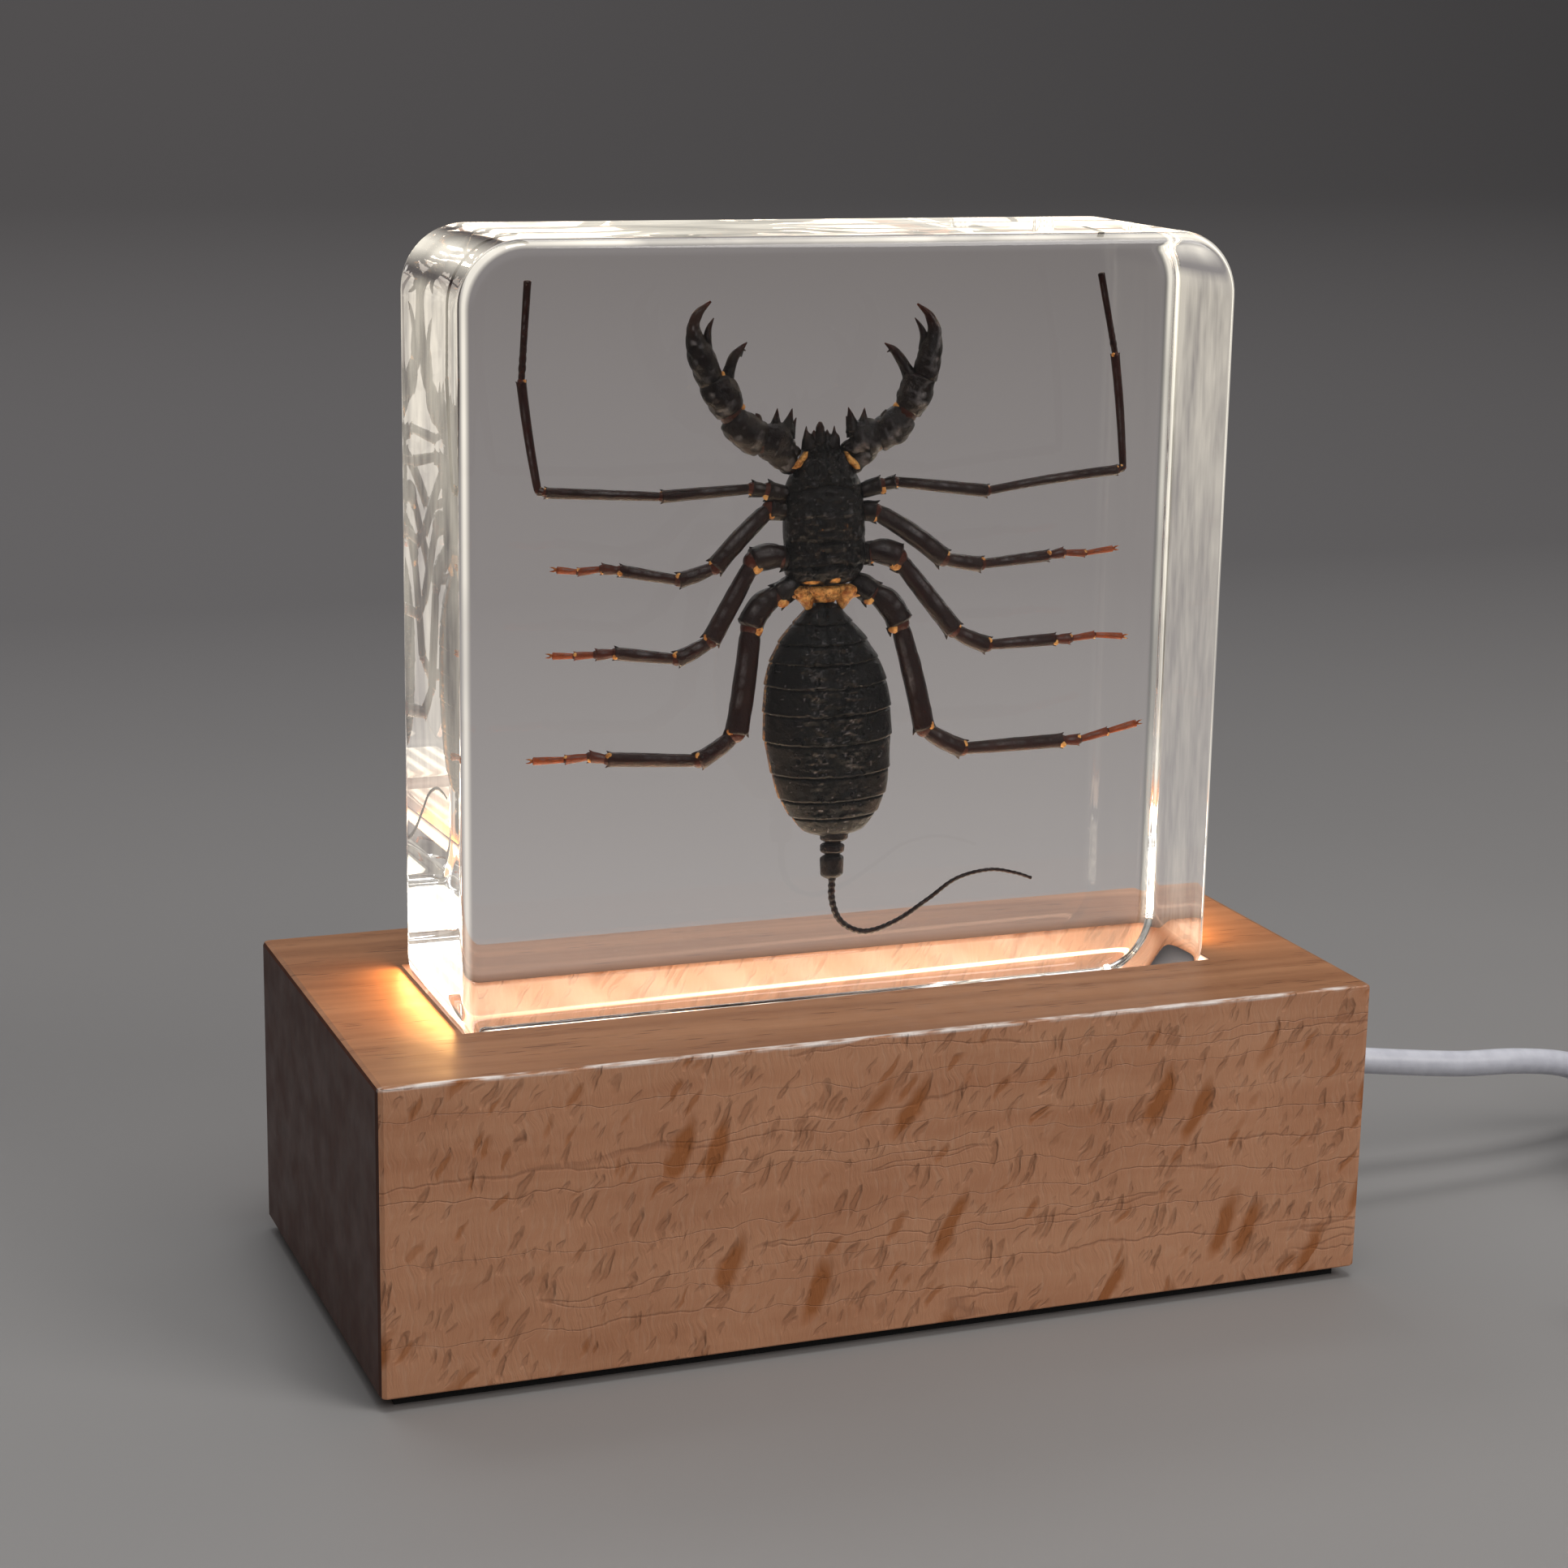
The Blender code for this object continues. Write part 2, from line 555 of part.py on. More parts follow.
def build():
    clear_scene()
    resin = make_material("clear_resin", (0.93, 0.95, 0.97), 0.02, transmission=1.0)
    beech = make_material("beech", (0.42, 0.24, 0.13), 0.5)
    pad = make_material("pad_foam", (0.02, 0.02, 0.02), 0.9)
    chitin = make_material("dark_chitin", (0.02, 0.016, 0.016), 0.35)
    board = make_material("board_white", (0.8, 0.78, 0.72), 0.5)
    led = make_material("led_warm", (1.0, 0.72, 0.35), 0.4, glow=5.0)
    cord = make_material("cord_white", (0.82, 0.83, 0.86), 0.4)
    steel = make_material("shell_steel", (0.6, 0.6, 0.62), 0.3, metallic=1.0)
    resin_half("resin_front", -1, resin)
    resin_half("resin_back", 1, resin)
    whip_scorpion(chitin)
    base_body(beech)
    base_pad(pad)
    lights(board, led)
    strain_relief(cord)
    cord_tube("cord_lead", LEAD_ROUTE, 1, cord)
    cord_coil(cord)
    cord_tube("cord_tail", TAIL_ROUTE, 1, cord)
    plug(cord, steel)


build()
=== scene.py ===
"""Looks of the whip scorpion in its clear resin block, on a lit beech stand with a thin cord."""
import math
import bpy
import numpy as np
from mathutils import Matrix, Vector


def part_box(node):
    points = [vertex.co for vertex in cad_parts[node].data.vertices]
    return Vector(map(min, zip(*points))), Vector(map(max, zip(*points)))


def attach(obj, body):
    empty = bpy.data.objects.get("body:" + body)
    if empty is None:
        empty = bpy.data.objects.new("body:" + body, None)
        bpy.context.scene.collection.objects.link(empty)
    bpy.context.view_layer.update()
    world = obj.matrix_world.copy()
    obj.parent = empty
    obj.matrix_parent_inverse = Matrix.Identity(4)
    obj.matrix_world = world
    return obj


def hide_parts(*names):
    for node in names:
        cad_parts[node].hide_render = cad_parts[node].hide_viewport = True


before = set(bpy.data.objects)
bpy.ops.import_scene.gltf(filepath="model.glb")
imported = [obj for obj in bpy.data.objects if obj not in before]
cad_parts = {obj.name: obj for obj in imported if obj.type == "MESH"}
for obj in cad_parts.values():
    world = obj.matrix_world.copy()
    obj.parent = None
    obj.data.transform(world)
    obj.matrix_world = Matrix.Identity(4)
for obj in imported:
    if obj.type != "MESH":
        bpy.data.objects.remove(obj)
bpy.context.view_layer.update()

# Millimetres from here on, measured from the table: the block, its seat in the stand and the row of chips
MM = 0.001
BLOCK_MIDDLE = 63.0
BLOCK_SIZE = 75.0
BLOCK_THICKNESS = 21.5
BLOCK_LOW = 25.5
CORNER_RADIUS = 6.0
RIM_RADIUS = 1.3
SEAT_HALF = (37.9, 11.2)
BASE_TOP = 30.0
CHIP_WAVE = 2 * math.pi / (8.0 * MM)

# The camera of the photograph, solved on the corners of the stand and the block
CAMERA_PLACE = (-110.75, -279.33, 121.87)
CAMERA_AZIMUTH = 21.09
CAMERA_DROP = 13.86
CAMERA_ROLL = 1.00
CAMERA_LENS = 3985.25 / 1932.0 * 36.0

# The cord: its free stretch on the table, the wound spare length and the stretch to the plug
CORD_DIAMETER = 2.8
LEAD_ROUTE = (
    (55.5, 0.0, 13.8), (58.0, 0.0, 13.8), (61.0, 0.0, 13.6), (68.0, 0.0, 12.6), (75.0, 0.1, 11.7),
    (82.0, 0.6, 11.1), (89.0, 1.9, 9.6), (94.3, 3.9, 7.0), (99.6, 5.2, 4.4), (104.4, 5.6, 2.5),
)
COIL_CENTRE = (111.0, -18.5)
COIL_TURNS = 13.347
COIL_LAYERS = 4
COIL_INSIDE = 12.05
COIL_OUTSIDE = 21.55
COIL_START = 95.0
COIL_LEAD_IN = 2.9
TAIL_ROUTE = (
    (131.1, -33.9, 9.4), (128.3, -39.5, 8.4), (124.0, -44.8, 6.9), (118.2, -48.7, 5.2),
    (112.7, -50.4, 4.2), (107.7, -50.8, 4.0),
)


# Shapes on a grid

def smooth_line(points, per_span):
    """Catmull-Rom curve: each span is a cubic whose end slopes are half the step between its neighbours."""
    points = np.asarray(points, float)
    padded = np.vstack([2 * points[0] - points[1], points, 2 * points[-1] - points[-2]])
    t = np.linspace(0.0, 1.0, per_span, endpoint=False)[None, :, None]
    a, b, c, d = (padded[k:len(padded) - 3 + k][:, None, :] for k in range(4))
    cubic = 2 * b + (c - a) * t + (2 * a - 5 * b + 4 * c - d) * t ** 2 + (3 * b - a - 3 * c + d) * t ** 3
    return np.vstack([0.5 * cubic.reshape(-1, points.shape[1]), points[-1:]])


def unit(vectors):
    return vectors / np.maximum(np.linalg.norm(vectors, axis=-1, keepdims=True), 1e-12)


def steps_along(line):
    """Distance run along a line up to each of its points."""
    return np.concatenate([[0.0], np.cumsum(np.linalg.norm(np.diff(line, axis=0), axis=1))])


def lattice_noise(u, v, seed):
    """Smooth noise from -1 to 1: random values at whole numbers, blended between them by 3t2-2t3."""
    table = np.random.default_rng(seed).uniform(-1.0, 1.0, (64, 64))
    column, row = np.floor(u).astype(int), np.floor(v).astype(int)
    across, along = u - column, v - row
    across = across ** 2 * (3 - 2 * across)
    along = along ** 2 * (3 - 2 * along)
    left, right = column % 64, (column + 1) % 64
    near, far = (table[left, k % 64] * (1 - across) + table[right, k % 64] * across for k in (row, row + 1))
    return near * (1 - along) + far * along


def full_turn(count):
    """Even angles once round, as one row."""
    return np.linspace(0.0, 2 * math.pi, count, endpoint=False)[None, :]


def grid_faces(rows, columns):
    """Four-sided faces between neighbouring rows of a grid that closes round its columns."""
    row = np.arange(rows - 1)[:, None] * columns
    column = np.arange(columns)[None, :]
    following = (column + 1) % columns
    corners = (row + column, row + following, row + columns + following, row + columns + column)
    return np.stack(corners, -1).reshape(-1, 4)


def closed_surface(rings, tone, web):
    """A grid of rings closed at both ends by a pole in the middle of its first and last ring.

    tone runs from 0, black, to 1, red-orange. web runs from -1, wear and painted highlight on the shell,
    through 0 to 1, soft skin.
    """
    rows, columns = rings.shape[:2]
    points = np.vstack([rings.reshape(-1, 3), rings[0].mean(0), rings[-1].mean(0)])
    first, last = rows * columns, rows * columns + 1
    column = np.arange(columns)
    following = (column + 1) % columns
    start = np.stack([np.full(columns, first), following, column], -1)
    low = (rows - 1) * columns
    end = np.stack([np.full(columns, last), low + column, low + following], -1)
    values = np.stack([np.broadcast_to(tone, (rows, columns)), np.broadcast_to(web, (rows, columns))], -1)
    values = np.vstack([values.reshape(-1, 2), values[0].mean(0), values[-1].mean(0)])
    return points, grid_faces(rows, columns), np.vstack([start, end]), values


def joined(surfaces):
    """One surface from several, their corners counted on from each other."""
    counts = np.cumsum([0] + [len(surface[0]) for surface in surfaces])
    points = np.vstack([surface[0] for surface in surfaces])
    quads = np.vstack([surface[1] + count for surface, count in zip(surfaces, counts)])
    triangles = np.vstack([surface[2] + count for surface, count in zip(surfaces, counts)])
    return points, quads, triangles, np.vstack([surface[3] for surface in surfaces])


def ring_frames(line):
    """At each point of a line: the direction that faces the viewer's side, and the one across it."""
    steps = unit(np.diff(line, axis=0))
    tangent = unit(np.vstack([steps[0], steps[:-1] + steps[1:], steps[-1]]))
    facing = np.array((0.0, -1.0, 0.0)) - tangent * (tangent @ np.array((0.0, -1.0, 0.0)))[:, None]
    facing = unit(facing)
    return facing, np.cross(facing, tangent)


def tube(line, widths, depths, sides, tone=0.3, web=0.0, ridge=0.0, relief=None):
    """Rings of half width and half depth carried along a line; ridge adds a three-sided swelling.

    A point is middle + across * width * cos(turn) + facing * depth * sin(turn), each times
    1 + ridge * cos(3 turn) + relief.
    """
    turn = full_turn(sides)
    facing, across = ring_frames(line)
    swell = 1 + ridge * np.cos(3 * turn) + (0.0 if relief is None else relief)
    wide = (np.asarray(widths)[:, None] * 0.5 * np.cos(turn) * swell)[..., None]
    deep = (np.asarray(depths)[:, None] * 0.5 * np.sin(turn) * swell)[..., None]
    rings = line[:, None, :] + across[:, None, :] * wide + facing[:, None, :] * deep
    tone, web = (value[:, None] if np.ndim(value) == 1 else value for value in (tone, web))
    return closed_surface(rings, tone, web)


def rounded_ends(run, radius, least=0.2):
    """A factor that draws a limb in over its last stretch at both ends, as a quarter circle does."""
    share = np.clip(np.minimum(run, run[-1] - run) / radius, 0.0, 1.0)
    return np.maximum(np.sqrt(1 - (1 - share) ** 2), least)


def blob(middle, size, tone=0.3, web=1.0, seed=0, rough=0.12):
    """A small crumpled ball: rings at sin(latitude) of the radius, pushed in and out by lattice noise."""
    latitude = np.linspace(-0.5 * math.pi + 0.12, 0.5 * math.pi - 0.12, 9)
    line = np.zeros((9, 3))
    line[:, 2] = np.sin(latitude) * size[2] / 2
    turn = full_turn(14)
    relief = rough * lattice_noise(np.cos(turn) * 1.7 + 9, latitude[:, None] * 1.9 + np.sin(turn) + 9, seed)
    rings = tube(line, size[0] * np.cos(latitude), size[1] * np.cos(latitude), 14, tone, web, 0.0, relief)
    return rings[0] + np.asarray(middle), rings[1], rings[2], rings[3]


def new_object(name, data):
    made = bpy.data.objects.new(name, data)
    bpy.context.scene.collection.objects.link(made)
    return made


def mesh_piece(name, surface, material):
    """An object at the origin from a surface in millimetres, with its tone and web kept as attributes."""
    points, quads, triangles, values = surface
    mesh = bpy.data.meshes.new(name)
    mesh.from_pydata((points * MM).tolist(), [], quads.tolist() + triangles.tolist())
    for k, attribute_name in enumerate(("tone", "web")):
        attribute = mesh.attributes.new(attribute_name, "FLOAT", "POINT")
        attribute.data.foreach_set("value", np.ascontiguousarray(values[:, k], dtype=np.float32))
    mesh.polygons.foreach_set("use_smooth", np.full(len(mesh.polygons), True))
    mesh.update()
    piece = new_object(name, mesh)
    mesh.materials.append(material)
    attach(piece, "root")
    return piece


# Finishes

class Wire:
    """An output of a shader node, which adds, subtracts and multiplies as a number does."""

    def __init__(self, tree, socket):
        self.tree = tree
        self.socket = socket

    def math(self, operation, other=0.0):
        return node(self.tree, "ShaderNodeMath", {0: self, 1: other}, "Value", operation=operation)

    def __add__(self, other):
        return self.math("ADD", other)

    def __sub__(self, other):
        return self.math("SUBTRACT", other)

    def __mul__(self, other):
        return self.math("MULTIPLY", other)

    def __abs__(self):
        return self.math("ABSOLUTE")

    def most(self, other):
        return self.math("MAXIMUM", other)

    def fit(self, low, high, to_low=0.0, to_high=1.0):
        """The value carried from one range to another, held at its ends."""
        inputs = {"Value": self, "From Min": low, "From Max": high, "To Min": to_low, "To Max": to_high}
        return node(self.tree, "ShaderNodeMapRange", inputs, "Result")

    def axes(self):
        """The three parts of a vector."""
        first = node(self.tree, "ShaderNodeSeparateXYZ", {"Vector": self}, "X")
        return [Wire(self.tree, socket) for socket in first.socket.node.outputs]

    def to(self, shader, name):
        self.tree.links.new(self.socket, shader.inputs[name])


def node(tree, kind, inputs=None, output=0, **settings):
    """One output of a new shader node, with its settings made and its inputs set or joined to wires."""
    made = tree.nodes.new(kind)
    for key, value in settings.items():
        setattr(made, key, value)
    for key, value in (inputs or {}).items():
        if isinstance(value, Wire):
            value.to(made, key)
        else:
            made.inputs[key].default_value = value
    return Wire(tree, made.outputs[output])


def new_finish(name, color=(0.5, 0.5, 0.5), roughness=0.5):
    """A material, its main shader and the place on the piece."""
    finish = bpy.data.materials.new(name)
    finish.use_nodes = True
    shader = finish.node_tree.nodes["Principled BSDF"]
    shader.inputs["Base Color"].default_value = (*color, 1.0)
    shader.inputs["Roughness"].default_value = roughness
    return finish, shader, node(finish.node_tree, "ShaderNodeTexCoord", output="Object")


def turned(vector, scale=(1, 1, 1), rotation=(0, 0, 0), location=(0, 0, 0)):
    inputs = {"Vector": vector, "Scale": scale, "Rotation": rotation, "Location": location}
    return node(vector.tree, "ShaderNodeMapping", inputs, "Vector")


def noise(vector, scale, detail=3.0, roughness=0.5, distortion=0.0, output="Fac"):
    """Cloudy noise, at one scale or at one for each axis."""
    if isinstance(scale, tuple):
        vector, scale = turned(vector, scale), 1.0
    inputs = {"Vector": vector, "Scale": scale, "Detail": detail, "Roughness": roughness}
    return node(vector.tree, "ShaderNodeTexNoise", {**inputs, "Distortion": distortion}, output)


def cells(vector, scale):
    """Distance to the nearest of scattered points."""
    return node(vector.tree, "ShaderNodeTexVoronoi", {"Vector": vector, "Scale": scale}, "Distance")


def blend(factor, first, second, mode="MIX"):
    """Two colours, each a wire or red, green and blue, mixed by the factor."""
    tree = next(value.tree for value in (factor, second) if isinstance(value, Wire))
    first, second = (value if isinstance(value, Wire) else (*value, 1.0) for value in (first, second))
    return node(tree, "ShaderNodeMix", {0: factor, 6: first, 7: second}, 2, data_type="RGBA", blend_type=mode)


def bump(shader, height, distance, strength=1.0):
    inputs = {"Height": height, "Distance": distance, "Strength": strength}
    node(height.tree, "ShaderNodeBump", inputs, "Normal").to(shader, "Normal")


def shell_finish():
    """Dried shell: black on the trunk, paler grey on ridges for wear and painted highlights, red-brown limbs,
    orange soft skin.
    """
    finish, shader, place = new_finish("dried_shell")
    shader.inputs["IOR"].default_value = 1.25
    tone, web = (
        node(place.tree, "ShaderNodeAttribute", None, "Fac", attribute_name=name) for name in ("tone", "web")
    )
    ramp = node(place.tree, "ShaderNodeValToRGB", {"Fac": tone}, "Color")
    stops = ramp.socket.node.color_ramp.elements
    stops[0].color = (0.0034, 0.0034, 0.0042, 1.0)
    stops[1].color = (0.36, 0.075, 0.018, 1.0)
    for at, *tint in (
        (0.25, 0.0080, 0.0034, 0.0032), (0.5, 0.030, 0.0065, 0.0045), (0.75, 0.13, 0.022, 0.008),
    ):
        stops.new(at).color = (*tint, 1.0)
    mottle = noise(place, 900.0, 4.0, 0.6)
    grain = noise(place, 2600.0, 3.0, 0.65)
    shade = blend(mottle.fit(0.35, 0.75, 0.0, 0.45), ramp, (0.010, 0.0065, 0.0062))
    skin = blend(noise(place, 1500.0, 3.0, 0.6).fit(0.36, 0.60), (0.44, 0.130, 0.022), (0.94, 0.50, 0.150))
    soft = (web + grain.fit(0.3, 0.7, -0.30, 0.20)).fit(0.45, 0.85)
    # negative web, drawn paler grey: wear on the trunk's ridges and painted highlight streaks on limbs and
    # pincers
    wear_and_highlight = web.fit(-0.1, -1.0) * grain.fit(0.35, 0.60, 0.35, 1.0)
    shade = blend(wear_and_highlight, shade, (0.215, 0.200, 0.208))
    blend(soft, shade, skin).to(shader, "Base Color")
    satin = tone.fit(0.05, 0.3, 0.30, 0.14)
    (satin + mottle.fit(0.3, 0.7, -0.06, 0.10)).to(shader, "Roughness")
    pits = cells(place, 4200.0).fit(0.0, 0.45)
    bump(shader, noise(place, 1500.0, 5.0, 0.62, 0.6) + pits * 0.25, 0.00022, 0.50)
    return finish


def resin_finish():
    """Clear cast resin with a matt underside over the chips; a painted glow on its underside, rims, top, ends
    and back stands in for the chips' light.
    """
    finish, shader, place = new_finish("clear_resin", (1.0, 1.0, 1.0), 0.0)
    shader.inputs["Transmission Weight"].default_value = 1.0
    shader.inputs["IOR"].default_value = 1.5
    shader.inputs["Specular IOR Level"].default_value = 0.35
    x, y, z = place.axes()
    facing = node(place.tree, "ShaderNodeNewGeometry", output="Normal").axes()
    size_x, size_y, size_z = (abs(part) for part in facing)

    low = z.fit((BLOCK_LOW + 0.02) * MM, (BLOCK_LOW + 0.06) * MM, 1.0, 0.0)
    (low * 0.30).to(shader, "Roughness")
    # painted glow on the matt underside, striped at the chips' pitch
    under = low * (x * CHIP_WAVE).math("COSINE").fit(0.4, -0.9, 1.2, 3.6)

    rim = size_x.most(size_y).most(size_z).fit(0.93, 0.76)
    # painted glow on the rounded rims, stronger higher up
    rim_light = noise(place, (120.0, 120.0, 45.0), 2.0).fit(0.35, 0.65, 0.45, 1.0)
    rim_light = rim_light * z.fit(60.0 * MM, 100.0 * MM, 0.45, 0.85) * rim
    # painted glow on the top face, in streaks
    streak = noise(place, (55.0, 260.0, 260.0), 3.0, 0.6)
    top = facing[2].fit(0.95, 0.99) * streak.fit(0.35, 0.65, 0.38, 0.88)
    # painted glow on the end faces, in patches, stronger higher up
    patches = noise(place, (40.0, 230.0, 70.0), 3.0, 0.6)
    ends = patches.fit(0.35, 0.65, 0.06, 0.30) * z.fit(45.0 * MM, 95.0 * MM, 0.6, 1.4)
    ends = size_x.fit(0.95, 0.99) * ends
    behind = y.fit((BLOCK_THICKNESS / 2 - 0.15) * MM, (BLOCK_THICKNESS / 2 - 0.05) * MM)
    # painted glow on the back face, slightly stronger low down
    back = z.fit(35.0 * MM, 95.0 * MM, 0.150, 0.115) * behind
    above = z.fit(BASE_TOP * MM, (BASE_TOP + 1.0) * MM)
    glow = under + (rim_light + top + (ends + back)) * above

    # tints of the painted glow
    hue = blend(behind, (1.0, 0.92, 0.74), (1.0, 0.88, 0.83))
    hue = blend(rim.most(top).fit(0.0, 0.3), hue, (1.0, 0.94, 0.80))
    blend(low, hue, (1.0, 0.86, 0.66)).to(shader, "Emission Color")
    glow.to(shader, "Emission Strength")
    return finish


def spindles(vector, scale, share, size, location=(0, 0, 0)):
    """Scattered lens-shaped marks: each cell's middle, kept only where the cell's own random value is low."""
    distance = cells(turned(vector, scale, location=location), 1.0)
    pick = Wire(vector.tree, distance.socket.node.outputs["Color"]).axes()[0]
    return distance.fit(size, size * 0.55) * pick.fit(share, share + 0.04, 1.0, 0.0)


def beech_sides(place):
    """Long sides: a smooth ground with slanting strokes in relief and a few orange-brown ray flecks."""
    wander = noise(place, 170.0, output="Color")
    reach = (0.0036, 0.0, 0.0028)
    wander = node(place.tree, "ShaderNodeVectorMath", {0: wander, 1: reach}, operation="MULTIPLY")
    bent = node(place.tree, "ShaderNodeVectorMath", {0: place, 1: wander}, operation="ADD")
    steep = turned(bent, rotation=(0.0, math.radians(66), 0.0))
    lower = turned(bent, rotation=(0.0, math.radians(56), 0.0))
    strokes = spindles(steep, (245.0, 40.0, 1050.0), 0.34, 0.42)
    ticks = spindles(lower, (470.0, 40.0, 2000.0), 0.24, 0.44, (3.3, 0.0, 5.1))
    flecks = spindles(steep, (108.0, 40.0, 380.0), 0.21, 0.42, (1.7, 0.0, 0.6))
    small = spindles(lower, (260.0, 40.0, 1000.0), 0.16, 0.40, (9.1, 0.0, 4.4))
    patchy = noise(place, (50.0, 40.0, 75.0), 4.0, 0.6)
    bands = noise(bent, (16.0, 40.0, 520.0), 3.0, 0.55)
    lines = noise(turned(bent, (9.0, 40.0, 330.0), location=(2.0, 0.0, 7.0)), 1.0, 1.0)
    rays = noise(bent, (2600.0, 40.0, 330.0), 3.0, 0.6)
    seam = abs(lines - 0.5).fit(0.010, 0.0, 0.0, 0.45)
    orange = flecks.most(small * 0.7)
    shade = blend(patchy.fit(0.3, 0.7), (0.445, 0.196, 0.102), (0.580, 0.282, 0.158))
    for share, over in (
        (bands.fit(0.35, 0.70, 0.0, 0.35), (0.65, 0.355, 0.210)), (seam, (0.25, 0.105, 0.056)),
        (rays.fit(0.52, 0.74, 0.0, 0.34), (0.64, 0.40, 0.27)), (ticks * 0.22, (0.27, 0.120, 0.068)),
        (strokes * 0.34, (0.27, 0.105, 0.048)), (orange * 0.85, (0.340, 0.110, 0.028)),
    ):
        shade = blend(share, shade, over)
    return shade, strokes * -1.0 - ticks * 0.55 - orange * 0.6 - seam * 0.5 - rays * 0.45 + 1.4


def beech_top(place):
    """The planed top: smooth bands along the length with short fine dark dashes."""
    bent = turned(place, rotation=(0.0, 0.0, math.radians(2)))
    dashes = cells(turned(bent, (230.0, 2300.0, 200.0)), 1.0)
    chosen = noise(bent, (90.0, 400.0, 60.0), 2.0).fit(0.45, 0.60)
    streak = noise(bent, (14.0, 380.0, 60.0), 4.0, 0.6)
    shade = blend(streak.fit(0.3, 0.7), (0.30, 0.132, 0.064), (0.45, 0.220, 0.112))
    marks = dashes.fit(0.16, 0.30, 0.75, 0.0) * chosen
    return blend(marks, shade, (0.13, 0.050, 0.024)), streak - marks


def painted_seat_glow(x, y, z):
    """Strength of the painted glow on the seat's walls and floor, standing in for the chips' light: a bright
    line rising to the right, and leaks.
    """
    absolute_x = abs(x)
    along = absolute_x.fit(SEAT_HALF[0] * MM, (SEAT_HALF[0] + 0.1) * MM, 1.0, 0.0)
    across = abs(y).fit(SEAT_HALF[1] * MM, (SEAT_HALF[1] + 0.1) * MM, 1.0, 0.0)
    inside = along * across * z.fit((BASE_TOP - 0.5) * MM, (BASE_TOP - 0.05) * MM, 1.0, 0.0)
    off_line = z - x.fit(-SEAT_HALF[0] * MM, SEAT_HALF[0] * MM, 26.5 * MM, 27.4 * MM)
    line = abs(off_line).fit(0.25 * MM, 0.10 * MM) * x.fit(-30.0 * MM, 30.0 * MM, 0.8, 4.0)
    walls = off_line.fit(-0.2 * MM, 0.2 * MM, 0.26, 0.50) + line
    walls = walls + z.fit(27.0 * MM, BASE_TOP * MM, 0.10, -0.10)
    channel = z.fit(24.9 * MM, 25.15 * MM, 2.6, 0.0)
    leak = absolute_x.fit((SEAT_HALF[0] - 0.25) * MM, (SEAT_HALF[0] - 0.12) * MM, 0.0, 4.0)
    return inside * (walls + channel + leak)


def beech_finish():
    """Oiled beech: slanting strokes on the long sides, dashes on top, ends dark from end grain and painted
    shade, a paler front top edge from wear and a painted highlight, and a painted glow on the seat.
    """
    finish, shader, place = new_finish("oiled_beech")
    shader.inputs["Specular IOR Level"].default_value = 0.25
    x, y, z = place.axes()
    facing = node(place.tree, "ShaderNodeNewGeometry", output="Normal").axes()
    side, side_relief = beech_sides(place)
    top, top_relief = beech_top(place)
    pores = noise(place, (200.0, 900.0, 500.0))
    # end faces: dark end grain, darkened further as painted shade
    end = blend(pores.fit(0.3, 0.7), (0.070, 0.022, 0.012), (0.098, 0.033, 0.018))
    upward = facing[2].fit(0.80, 0.95)
    endward = abs(facing[0]).fit(0.55, 0.80)
    wood = blend(endward, blend(upward, side, top), end)
    # a paler rubbed band along the front top edge: partly wear, partly a painted highlight
    rubbed_and_highlit_edge = y.fit(-23.00 * MM, -22.75 * MM, 1.0, 0.0) * z.fit(29.55 * MM, 29.85 * MM)
    ragged = noise(place, (300.0, 1500.0, 1500.0)).fit(0.38, 0.60)
    wood = blend(rubbed_and_highlit_edge * ragged, wood, (0.92, 0.82, 0.76))
    wood.to(shader, "Base Color")
    noise(place, 300.0).fit(0.3, 0.7, 0.36, 0.50).to(shader, "Roughness")
    long_side = endward.most(upward).fit(0.0, 1.0, 1.0, 0.0)
    bump(shader, side_relief * long_side + top_relief * upward * 0.15, 0.00030, 0.65)
    # tint of the painted glow on the seat
    blend(0.22, (1.0, 0.69, 0.47), wood, "MULTIPLY").to(shader, "Emission Color")
    painted_seat_glow(x, y, z).to(shader, "Emission Strength")
    return finish


def pad_finish():
    finish, shader, place = new_finish("black_foam", (0.012, 0.012, 0.012), 0.85)
    bump(shader, cells(place, 3500.0), 0.0001, 0.6)
    return finish


def board_finish():
    finish, shader, place = new_finish("white_board", roughness=0.45)
    shade = blend(noise(place, 1200.0).fit(0.4, 0.6), (0.78, 0.76, 0.70), (0.86, 0.85, 0.80))
    shade.to(shader, "Base Color")
    return finish


def lit_chip_finish():
    finish, shader, place = new_finish("lit_chip", (1.0, 0.80, 0.45), 0.4)
    blend(noise(place, 700.0, 1.0), (1.0, 0.66, 0.30), (1.0, 0.86, 0.60)).to(shader, "Emission Color")
    shader.inputs["Emission Strength"].default_value = 14.0
    return finish


def cord_finish():
    finish, shader, place = new_finish("smooth_white_cord", roughness=0.36)
    shade = blend(noise(place, 700.0).fit(0.35, 0.65), (0.58, 0.585, 0.65), (0.66, 0.665, 0.73))
    shade.to(shader, "Base Color")
    shader.inputs["Subsurface Weight"].default_value = 0.08
    shader.inputs["Subsurface Radius"].default_value = (0.001, 0.001, 0.001)
    bump(shader, noise(place, 1600.0, 2.0), 0.00004, 0.4)
    return finish


def steel_finish():
    finish, shader, place = new_finish("folded_steel", (0.62, 0.62, 0.64), 0.3)
    shader.inputs["Metallic"].default_value = 1.0
    brushed = noise(place, (150.0, 4000.0, 4000.0))
    brushed.fit(0.3, 0.7, 0.22, 0.42).to(shader, "Roughness")
    bump(shader, brushed, 0.00002, 0.5)
    return finish


